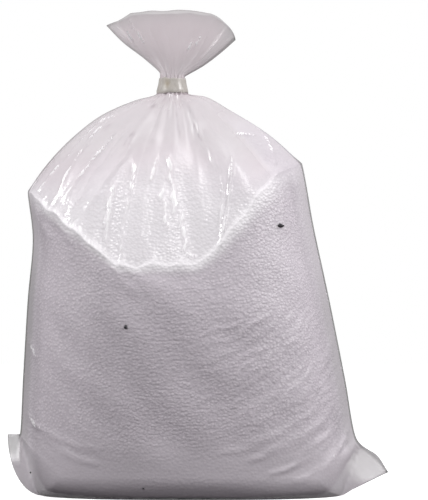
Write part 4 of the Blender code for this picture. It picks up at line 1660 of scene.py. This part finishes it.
        around, middle = self.around, self.around // 2
        wall = wall_faces(len(rows), around)
        strip = np.arange(1, middle - 1)
        closing = np.stack([strip + 1, strip, around - strip, around - strip - 1], axis=-1)
        corners = np.array([[1, 0, around - 1], [middle, middle - 1, middle + 1]])
        piece = mesh_piece("film_sheet", points.reshape(-1, 3), [wall, closing, corners])

        numbers = self.looks.numbers(Spots(place, turn, points))
        # the stored crease is the painted highlight of the creases, the wrinkles and the beads' edge
        for name, values in {**numbers, "crease": white}.items():
            add_values(piece, name, values)
        self.add_map(piece, points, len(wall))
        piece.data.materials.append(self.finish.material())
        return piece

    def add_map(self, piece: Piece, points: Array, quads: int) -> None:
        """Adds the map named film: u is the share of the way round, and v the metres up along the film.

        Args:
            piece: The film.
            points: Its points by row and column.
            quads: How many of its faces are in the wall.
        """
        steps = np.linalg.norm(np.diff(points[:, self.around // 4], axis=0), axis=-1)
        along = np.concatenate([[0], np.cumsum(steps)])
        row, column = np.divmod(np.arange(quads), self.around)
        u = np.stack([column, column + 1, column + 1, column], axis=-1) / self.around
        v = np.stack([along[row], along[row], along[row + 1], along[row + 1]], axis=-1)
        flat = np.zeros((len(piece.data.loops), 2), np.float32)
        flat[: 4 * quads] = np.stack([u.ravel(), v.ravel()], axis=-1)
        piece.data.uv_layers.new(name="film").data.foreach_set("uv", flat.ravel())


# Beads


@dataclass(frozen=True)
class BeadPacking:
    """The loose beads against the film and on the heap, and the core behind them."""

    form: BagForm
    relief: Relief
    finish: BeadFinish = BeadFinish()
    radius: float = 0.00245
    radius_spread: float = 0.08
    radius_limits: Span = (0.8, 1.12)
    tone: float = 0.62
    tone_spread: float = 0.18
    pitch: float = 0.0046
    row_step: float = 0.004
    jitter: float = 0.0008
    film_gap: float = 0.0006
    floor_gap: float = 0.0002
    row_floor_gap: float = 0.0004
    row_slack: float = 0.001
    wall_places: Span = (1.0, 6.0)
    stir: float = 0.0016
    row_stirs: Ripple = Ripple(19, 0.024, (0, 6.3))
    bead_stirs: Ripple = Ripple(20, 0.022, (0, 6.3))
    sag: float = 0.055
    sag_fade: Span = (0.1, 0.34)
    heap_pitch: float = 0.0042
    heap_jitter: float = 0.0012
    heap_middle: float = -0.04
    heap_reach: tuple[int, int] = (90, 60)
    heap_end: float = 0.985
    mound: float = 0.0022
    mounds: Ripple = Ripple(17, 0.05)
    core_depth: float = 0.0018
    core_around: int = 160
    core_floor: float = 0.002
    core_rows: tuple[int, int] = (9, 45)
    crest_rows: int = 33
    crest_reach: float = 0.97
    crest_crowding: float = 1.2
    crest_sharpness: int = 8
    crest_depth: float = 0.0008
    piece_count: int = 4
    wall_seed: int = 5
    wall_sizes_seed: int = 6
    heap_seed: int = 9
    heap_sizes_seed: int = 10
    wall_balls_seed: int = 100
    heap_balls_seed: int = 200

    @staticmethod
    def ball() -> Pair:
        """A ball of radius 1 with 18 points and 32 triangles: an octahedron with each edge halved."""
        corners = np.array([[1, 0, 0], [-1, 0, 0], [0, 1, 0], [0, -1, 0], [0, 0, 1], [0, 0, -1]], float)
        sides = [(0, 2, 4), (2, 1, 4), (1, 3, 4), (3, 0, 4), (2, 0, 5), (1, 2, 5), (3, 1, 5), (0, 3, 5)]
        points, faces, halves = list(corners), [], {}
        for side in sides:
            mids = []
            for start, end in zip(side, side[1:] + side[:1]):
                key = (min(start, end), max(start, end))
                if key not in halves:
                    halves[key] = len(points)
                    points.append((corners[start] + corners[end]) / math.sqrt(2))
                mids.append(halves[key])
            faces += [(side[k], mids[k], mids[k - 1]) for k in range(3)] + [tuple(mids)]
        return np.array(points), np.array(faces)

    def film_side(self, place: Array, turn: Array, depth: float) -> Array:
        """Points a depth inside the beads' outer surface, with the relief that the film has there.

        Args:
            place: Places along the film.
            turn: Angles round the ring.
            depth: Depth in metres.

        Returns:
            Points of shape (..., 3).
        """
        points = self.form.surface(place, turn, beads=True)
        way, _ = self.form.outward(place, turn, beads=True)
        out = self.relief.height(Spots(place, turn, points)) - depth
        return points + way * out[..., None]

    def sizes(self, count: int, seed: int) -> Array:
        """Radii of a number of beads, which differ a little."""
        sizes = np.random.default_rng(seed).normal(1.0, self.radius_spread, count)
        return self.radius * np.clip(sizes, *self.radius_limits)

    def wall_beads(self) -> Pair:
        """Centres and radii of the beads that lie against the film.

        Each row is a line of the inside that sags from side to side and wanders, much as the next row does.
        The beads stand along it a pitch apart, each row half a pitch off, and random fields stir them.

        Returns:
            Points of shape (n, 3), and n radii.
        """
        rng = np.random.default_rng(self.wall_seed)
        depth = self.form.bead_inset + self.radius
        places, turns = np.linspace(*self.wall_places, 141), np.linspace(0, FULL_TURN, 1441)
        grid = self.film_side(*np.meshgrid(places, turns, indexing="ij"), depth)
        top, around = grid[-1, :, 2], self.relief.usual_radius * turns
        floor = self.radius + self.row_floor_gap
        found = []
        for row, level in enumerate(np.arange(floor - self.sag, top.max(), self.row_step)):
            fade = 1 - eased(*self.sag_fade, np.array(level))
            wavy = level + self.sag * np.cos(turns) ** 2 * fade + self.stir * self.row_stirs.at(around, level)
            below = np.clip((grid[..., 2] < wavy).sum(axis=0) - 1, 0, len(places) - 2)
            low, high = (np.take_along_axis(grid, (below + k)[None, :, None], axis=0)[0] for k in (0, 1))
            rise = np.maximum(high[:, 2] - low[:, 2], 1e-9)
            share = np.clip((wavy - low[:, 2]) / rise, 0, 1)
            walked = np.linalg.norm(np.diff(between(low, high, share[:, None]), axis=0), axis=1)
            walked = np.concatenate([[0], np.cumsum(walked)])
            at = (np.arange(int(walked[-1] / self.pitch)) + 0.5 * (row % 2)) * self.pitch
            at = at + self.stir * self.bead_stirs.at(at, level) + rng.uniform(-1, 1, len(at)) * self.jitter
            turn = np.interp(at % walked[-1], walked, turns)
            place = np.interp(turn, turns, places[below] + share * (places[1] - places[0]))
            under_edge = np.interp(turn, turns, top - wavy) > -self.row_slack
            kept = under_edge & (np.interp(turn, turns, wavy) > floor - self.row_slack)
            found.append(np.stack([place[kept], turn[kept]], axis=-1))
        place, turn = np.concatenate(found).T
        radii = self.sizes(len(place), self.wall_sizes_seed)
        depths = self.form.bead_inset + radii + rng.uniform(0, self.film_gap, len(place))
        centres = self.film_side(place, turn, depths)
        lifted = centres[:, 2] + rng.uniform(-1, 1, len(place)) * self.jitter
        centres[:, 2] = np.maximum(lifted, radii + self.floor_gap)
        return centres, radii

    def rim(self, depth: float) -> tuple[Array, Array, Array, Array]:
        """The edge of the heap by its angle round the heap's middle.

        Args:
            depth: Depth in metres inside the beads' outer surface.

        Returns:
            The middle in plan, and sorted angles with the edge's distance and height at each.
        """
        turn = np.linspace(0, FULL_TURN, 720, endpoint=False)
        edge = self.film_side(np.full_like(turn, Place.EDGE.value), turn, depth)
        middle = edge[:, :2].mean(axis=0)
        angle = np.arctan2(edge[:, 1] - middle[1], edge[:, 0] - middle[0])
        order = np.argsort(angle)
        return middle, angle[order], np.linalg.norm(edge[:, :2] - middle, axis=1)[order], edge[order, 2]

    def heaped(self, x: Array, y: Array, depth: Any) -> Pair:
        """Height of the heap, and the share of the way out to its edge.

        The height falls from the crest to the edge with the share of the way to the power of the form's
        sharpness, plus low random mounds.

        Args:
            x: Across.
            y: From front to back.
            depth: Depth in metres inside the beads' outer surface.

        Returns:
            Heights and shares, each like x.
        """
        middle, angles, reach, heights = self.rim(depth)
        angle = np.arctan2(y - middle[1], x - middle[0])
        share = np.hypot(x - middle[0], y - middle[1]) / np.interp(angle, angles, reach, period=FULL_TURN)
        edge = np.interp(angle, angles, heights, period=FULL_TURN)
        inside = np.clip(share, 0, 1)
        height = between(self.form.heap_top - depth, edge, inside**self.form.heap_sharpness)
        return height + self.mound * self.mounds.at(x, y) * (1 - inside**6), share

    def heap_beads(self) -> Pair:
        """Centres and radii of the beads on the heap: a jittered triangular grid in plan, lifted onto it."""
        rng = np.random.default_rng(self.heap_seed)
        across, deep = (np.arange(-reach, reach) for reach in self.heap_reach)
        step = self.heap_pitch * math.sqrt(3) / 2
        y, x = np.meshgrid(deep * step, across * self.heap_pitch, indexing="ij")
        x = x + (deep[:, None] % 2) * self.heap_pitch / 2 + self.heap_middle
        x, y = (flat + rng.uniform(-1, 1, flat.shape) * self.heap_jitter for flat in (x.ravel(), y.ravel()))
        z, share = self.heaped(x, y, self.form.bead_inset + self.radius)
        z = z + rng.uniform(-0.5, 0.5, z.shape) * self.heap_jitter
        kept = share < self.heap_end
        return np.stack([x, y, z], axis=-1)[kept], self.sizes(int(kept.sum()), self.heap_sizes_seed)

    def balls(self, name: str, centres: Array, radii: Array, seed: int) -> Piece:
        """One piece of beads, each a ball turned its own way.

        Args:
            name: Name of the piece.
            centres: Centres of its beads.
            radii: Their radii.
            seed: Picks turns and tones.

        Returns:
            The piece, with its stored tone.
        """
        rng = np.random.default_rng(seed)
        points, faces = self.ball()
        turned = np.linalg.qr(rng.normal(size=(len(centres), 3, 3)))[0]
        turned[np.linalg.det(turned) < 0] *= -1
        placed = np.einsum("nij,kj->nki", turned, points) * radii[:, None, None] + centres[:, None, :]
        corners = faces[None] + np.arange(len(centres))[:, None, None] * len(points)
        piece = mesh_piece(name, placed.reshape(-1, 3), [corners.reshape(-1, 3)])
        tones = np.clip(rng.normal(self.tone, self.tone_spread, len(centres)), 0, 1)
        add_values(piece, "tone", np.repeat(tones, len(points)))
        return piece

    def core(self) -> Piece:
        """The core: the beads' form drawn in by the core's depth, with the heap on top, closed below."""
        depth, around = self.form.bead_inset + self.core_depth, self.core_around
        base, foot, edge = (float(place.value) for place in (Place.BASE, Place.FOOT, Place.EDGE))
        low, high = self.core_rows
        places = np.concatenate([np.linspace(base, foot, low)[:-1], np.linspace(foot, edge, high)])
        turn = np.linspace(0, FULL_TURN, around, endpoint=False)
        wall = self.film_side(*np.meshgrid(places, turn, indexing="ij"), depth)
        wall[..., 2] = np.maximum(wall[..., 2], self.core_floor)
        rim = wall[-1, :, :2]
        centre = rim.mean(axis=0)
        rings = [wall]
        for share in 1 - np.linspace(0.0, self.crest_reach, self.crest_rows)[1:] ** self.crest_crowding:
            flat = centre + (rim - centre) * share
            sunk = depth + self.crest_depth * (1 - share**self.crest_sharpness)
            height, _ = self.heaped(flat[:, 0], flat[:, 1], sunk)
            rings.append(np.column_stack([flat, height])[None])
        grid = np.concatenate(rings)
        top, _ = self.heaped(centre[:1], centre[1:], depth + self.crest_depth)
        ends = [[*centre, top[0]], [*wall[0, :, :2].mean(axis=0), self.core_floor]]
        points = np.vstack([grid.reshape(-1, 3), ends])
        here, there = ring_corners(around)
        last = (len(grid) - 1) * around
        crest = np.stack([last + here, last + there, np.full(around, len(points) - 2)], axis=-1)
        below = np.stack([there, here, np.full(around, len(points) - 1)], axis=-1)
        return mesh_piece("bead_core", points, [wall_faces(len(grid), around), crest, below])

    def build(self) -> list[Piece]:
        """All the pieces of beads, the wall's in bands of equal number from the floor up."""
        centres, radii = self.wall_beads()
        parts = np.array_split(np.argsort(centres[:, 2]), self.piece_count)
        material = self.finish.material()
        pieces = []
        for k, part in enumerate(parts):
            name, seed = f"beads_band_{k + 1}", self.wall_balls_seed + k
            pieces.append(self.balls(name, centres[part], radii[part], seed))
        pieces.append(self.balls("beads_heap", *self.heap_beads(), self.heap_balls_seed))
        for piece in pieces:
            piece.data.materials.append(material)
        core = self.core()
        core.data.materials.append(self.finish.core_material())
        return pieces + [core]


@dataclass(frozen=True)
class Grit:
    """A few specks of dark grit on the front of the film, by their x, height, size and flatness."""

    form: BagForm
    finish: GritFinish = GritFinish()
    specks: tuple[tuple[float, float, float, float], ...] = (
        (0.098, 0.3235, 0.0042, 0.6),
        (-0.0845, 0.203, 0.0028, 0.95),
        (-0.201, 0.028, 0.0015, 0.8),
        (-0.063, 0.014, 0.0014, 0.8),
    )
    seed: int = 41
    lumpiness: float = 0.28
    thinness: float = 0.7

    def found(self, x: float, z: float) -> Array:
        """The point of the film's front that is nearest to an x and a height, as seen from the front."""
        places, turns = np.linspace(1.0, 6.0, 401), np.linspace(0.02, math.pi - 0.02, 801)
        points = self.form.surface(*np.meshgrid(places, turns, indexing="ij"))
        off = np.hypot(points[..., 0] - x, points[..., 2] - z)
        return points.reshape(-1, 3)[off.argmin()]

    def build(self) -> Piece:
        """The specks as lumpy balls, thinner from front to back and flattened by their last number."""
        rng = np.random.default_rng(self.seed)
        ball, faces = BeadPacking.ball()
        points, corners = [], []
        for k, (x, z, size, flatness) in enumerate(self.specks):
            lumps = rng.uniform(-self.lumpiness, self.lumpiness, (len(ball), 1))
            lumpy = ball * (1 + lumps) * size * (1, self.thinness, flatness)
            points.append(lumpy + self.found(x, z))
            corners.append(faces + k * len(ball))
        piece = mesh_piece("grit_specks", np.vstack(points), [np.vstack(corners)])
        piece.data.materials.append(self.finish.material())
        return piece


# Tape


@dataclass(frozen=True)
class NeckTape:
    """The turns of tape round the neck, as one thin band with a step where the tape ends.

    The band is tighter and thinner towards its lower rim, where the film swells under it. The mark is a brown
    stain, by its angle and its share of the height, each with its width.
    """

    form: BagForm
    finish: TapeFinish = TapeFinish()
    turn_thickness: float = 0.00015
    turns: int = 4
    end_angle: float = math.radians(-119)
    clearance: float = 0.0007
    rim_clearance: float = 0.25
    rim_thickness: float = 0.3
    clearance_span: Span = (0.0, 0.25)
    thickness_span: Span = (0.0, 0.12)
    pinches: int = 5
    pinch_depth: float = 0.0001
    pinch_slides: Wander = Wander(71, (2, 3, 5))
    pinch_slide: float = 2.2
    pinch_lean: float = 0.5
    pinch_strengths: Wander = Wander(73, (1, 2, 3))
    waist: float = 0.0005
    edge_wave: float = 0.0007
    edge_waves: Wander = Wander(72, (2, 5, 9))
    mark_angle: Span = (math.radians(-112), 0.24)
    mark_height: Span = (0.62, 0.35)
    mark_strength: float = 0.8
    around: int = 160
    rows: int = 18

    def pinched(self, angle: Array, share: Array) -> Array:
        """The upright pinches: one less the size of a sine of the angle, which slides and varies."""
        slid = self.pinches * angle + self.pinch_slide * self.pinch_slides.at(angle) + self.pinch_lean * share
        return (1 - np.abs(np.sin(slid))) * (0.5 + 0.5 * self.pinch_strengths.at(angle))

    def build(self) -> Piece:
        """The band: a slight cone with upright pinches, where the film's folds push it out and in.

        The inner wall is the cone, drawn in at its waist and between the pinches. The outer wall stands out
        from it by the turns of tape, which grow by one over a full turn and end in a step.

        Returns:
            The piece, with its stored fold and mark.
        """
        turn = np.arange(self.around) * FULL_TURN / self.around
        share, around = np.meshgrid(np.linspace(0, 1, self.rows), turn, indexing="ij")
        angle = around + self.end_angle
        pinch = self.pinched(angle, share)
        spaced = between(self.rim_clearance, 1.0, eased(*self.clearance_span, share))
        cone = between(self.form.neck_lower, self.form.neck_upper, share) + self.clearance * spaced
        inner = cone - self.pinch_depth * (1 - pinch) - self.waist * (4 * share * (1 - share))
        thinned = between(self.rim_thickness, 1.0, eased(*self.thickness_span, share))
        build_up = self.turn_thickness * (self.turns + around / FULL_TURN) * thinned
        edge = self.edge_wave * self.edge_waves.at(angle)
        height = self.form.neck_height + self.form.tape_width * share + edge * (2 * share - 1)
        walls = []
        for reach in (inner + build_up, inner):
            x, y = reach * np.cos(angle) - self.form.neck_offset, reach * np.sin(angle)
            walls.append(np.stack([x, y, height], axis=-1))
        grid = np.concatenate([walls[0], walls[1][::-1]])
        here, there = ring_corners(self.around)
        last = (len(grid) - 1) * self.around
        rim = np.stack([last + here, last + there, there, here], axis=-1)
        piece = mesh_piece("tape_band", grid.reshape(-1, 3), [wall_faces(len(grid), self.around), rim])
        off_mark = apart(angle, self.mark_angle[0])
        mark = hump(0.0, self.mark_angle[1], off_mark) * hump(*self.mark_height, share) * self.mark_strength
        for name, values in (("fold", pinch**3), ("mark", np.clip(mark, 0, 1))):
            add_values(piece, name, np.concatenate([values, values[::-1]]))
        piece.data.materials.append(self.finish.material())
        return piece


# Studio


@dataclass(frozen=True)
class Lamp:
    """A square soft lamp, by its place, what it points at, its side and its power in watts."""

    name: str
    place: Triple
    target: Triple
    side: float
    power: float

    def build(self) -> None:
        """Adds the lamp."""
        data = bpy.data.lights.new(self.name, "AREA")
        data.shape, data.size, data.energy = "SQUARE", self.side, self.power
        lamp = bpy.data.objects.new(self.name, data)
        lamp.location = self.place
        lamp.rotation_euler = (Vector(self.target) - Vector(self.place)).to_track_quat("-Z", "Y").to_euler()
        bpy.context.scene.collection.objects.link(lamp)


@dataclass(frozen=True)
class Studio:
    """A pale floor, soft light from above and a camera straight in front."""

    camera_place: Triple = (0.0194, -4.0, 0.2)
    camera_target: Triple = (0.0194, 0.0, 0.2965)
    frame_height: float = 0.605
    floor_side: float = 30.0
    sky_strength: float = 0.52
    horizon_strength: float = 0.16
    floor_glow: float = 0.72
    floor_drop: float = 0.0002
    floor_colour: Colour = (0.14, 0.135, 0.14)
    seen_floor: Colour = (0.85, 0.85, 0.85)
    sky: tuple[float, ...] = (1.0, 0.99, 1.0, 1.0)
    horizon: float = -0.2
    lamps: tuple[Lamp, ...] = (
        Lamp("right_lamp", (1.56, -0.64, 1.5), (0.0, 0.0, 0.32), 0.45, 31.0),
        Lamp("left_lamp", (-1.5, -0.7, 1.5), (0.0, 0.0, 0.32), 0.4, 24.0),
        Lamp("front_lamp", (0.12, -1.15, 1.95), (0.0, 0.0, 0.3), 0.35, 1.5),
    )

    def build_camera(self) -> None:
        """Adds the camera, whose lens fits frame_height into the long side of its picture at the bag."""
        data = bpy.data.cameras.new("camera")
        camera = bpy.data.objects.new("camera", data)
        way = Vector(self.camera_target) - Vector(self.camera_place)
        data.sensor_width = 36.0
        data.lens = data.sensor_width * way.length / self.frame_height
        data.clip_end = 100.0
        camera.location = self.camera_place
        camera.rotation_euler = way.to_track_quat("-Z", "Y").to_euler()
        bpy.context.scene.collection.objects.link(camera)
        bpy.context.scene.camera = camera

    def build_floor(self) -> None:
        """Adds the floor: white to the camera apart from the bag's shadow, and mid grey to other rays."""
        half, low = self.floor_side / 2, -self.floor_drop
        corners = np.array([[-half, -half, low], [half, -half, low], [half, half, low], [-half, half, low]])
        floor = mesh_piece("floor", corners, [np.array([[0, 1, 2, 3]])])
        sheet = ShaderSheet("pale_floor")
        seen = sheet.node("ShaderNodeLightPath", {}, {}).outputs["Is Camera Ray"]
        sheet.set(
            Base_Color=sheet.mixed(seen, self.floor_colour, self.seen_floor),
            Roughness=0.9,
            Specular_IOR_Level=0.0,
            Emission_Color=sheet.mixed(seen, (0.0, 0.0, 0.0), (self.floor_glow,) * 3),
            Emission_Strength=1.0,
        )
        floor.data.materials.append(sheet.material)

    def build_world(self) -> None:
        """Sets the world: white to the camera, and to all else a soft sky that darkens towards the floor."""
        world = bpy.data.worlds.new("studio")
        world.use_nodes = True
        bpy.context.scene.world = world
        sheet = ShaderTree(world.node_tree)
        way = sheet.node("ShaderNodeTexCoord", {}, {}).outputs["Generated"]
        up = sheet.node("ShaderNodeSeparateXYZ", {}, {0: way}).outputs["Z"]
        strengths = {"From Min": self.horizon, "To Min": self.horizon_strength, "To Max": self.sky_strength}
        strength = sheet.node("ShaderNodeMapRange", {}, {"Value": up, **strengths}).outputs["Result"]
        white = sheet.node("ShaderNodeBackground", {}, {"Color": (1.0, 1.0, 1.0, 1.0)}).outputs[0]
        sky = sheet.node("ShaderNodeBackground", {}, {"Color": self.sky, "Strength": strength}).outputs[0]
        seen = sheet.node("ShaderNodeLightPath", {}, {}).outputs["Is Camera Ray"]
        mix = sheet.node("ShaderNodeMixShader", {}, {"Fac": seen, 1: sky, 2: white}).outputs[0]
        sheet.feed(world.node_tree.nodes["World Output"].inputs["Surface"], mix)

    def build(self) -> None:
        """Adds the camera, the floor, the world and the lamps, and sets how colours are shown."""
        self.build_camera()
        self.build_floor()
        self.build_world()
        for lamp in self.lamps:
            lamp.build()
        scene = bpy.context.scene
        scene.view_settings.view_transform = "Standard"
        scene.cycles.transparent_max_bounces = 32


# Assembly


def join_in(pieces: Iterable[Piece], node: str) -> None:
    """Makes pieces ride on the model and stand for one of its nodes, whose part is hidden.

    Args:
        pieces: The pieces.
        node: The node that they stand for.
    """
    for piece in pieces:
        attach(piece, "root")
        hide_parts(node)
        LOG.info("%s: %d triangles, for %s", piece.name, triangles(piece), node)


def main() -> None:
    """Builds the studio, the beads, the film and the tape."""
    logging.basicConfig(level=logging.INFO, format="%(message)s")
    Studio().build()
    form = BagForm()
    relief = Relief(form)
    packing = BeadPacking(form, relief)
    join_in(packing.build(), "bead_fill")
    join_in([Grit(form).build()], "bead_fill")
    join_in([FilmSheet(form, relief).build()], "film_bag")
    join_in([NeckTape(form).build()], "neck_tape")


if __name__ == "__main__":
    main()
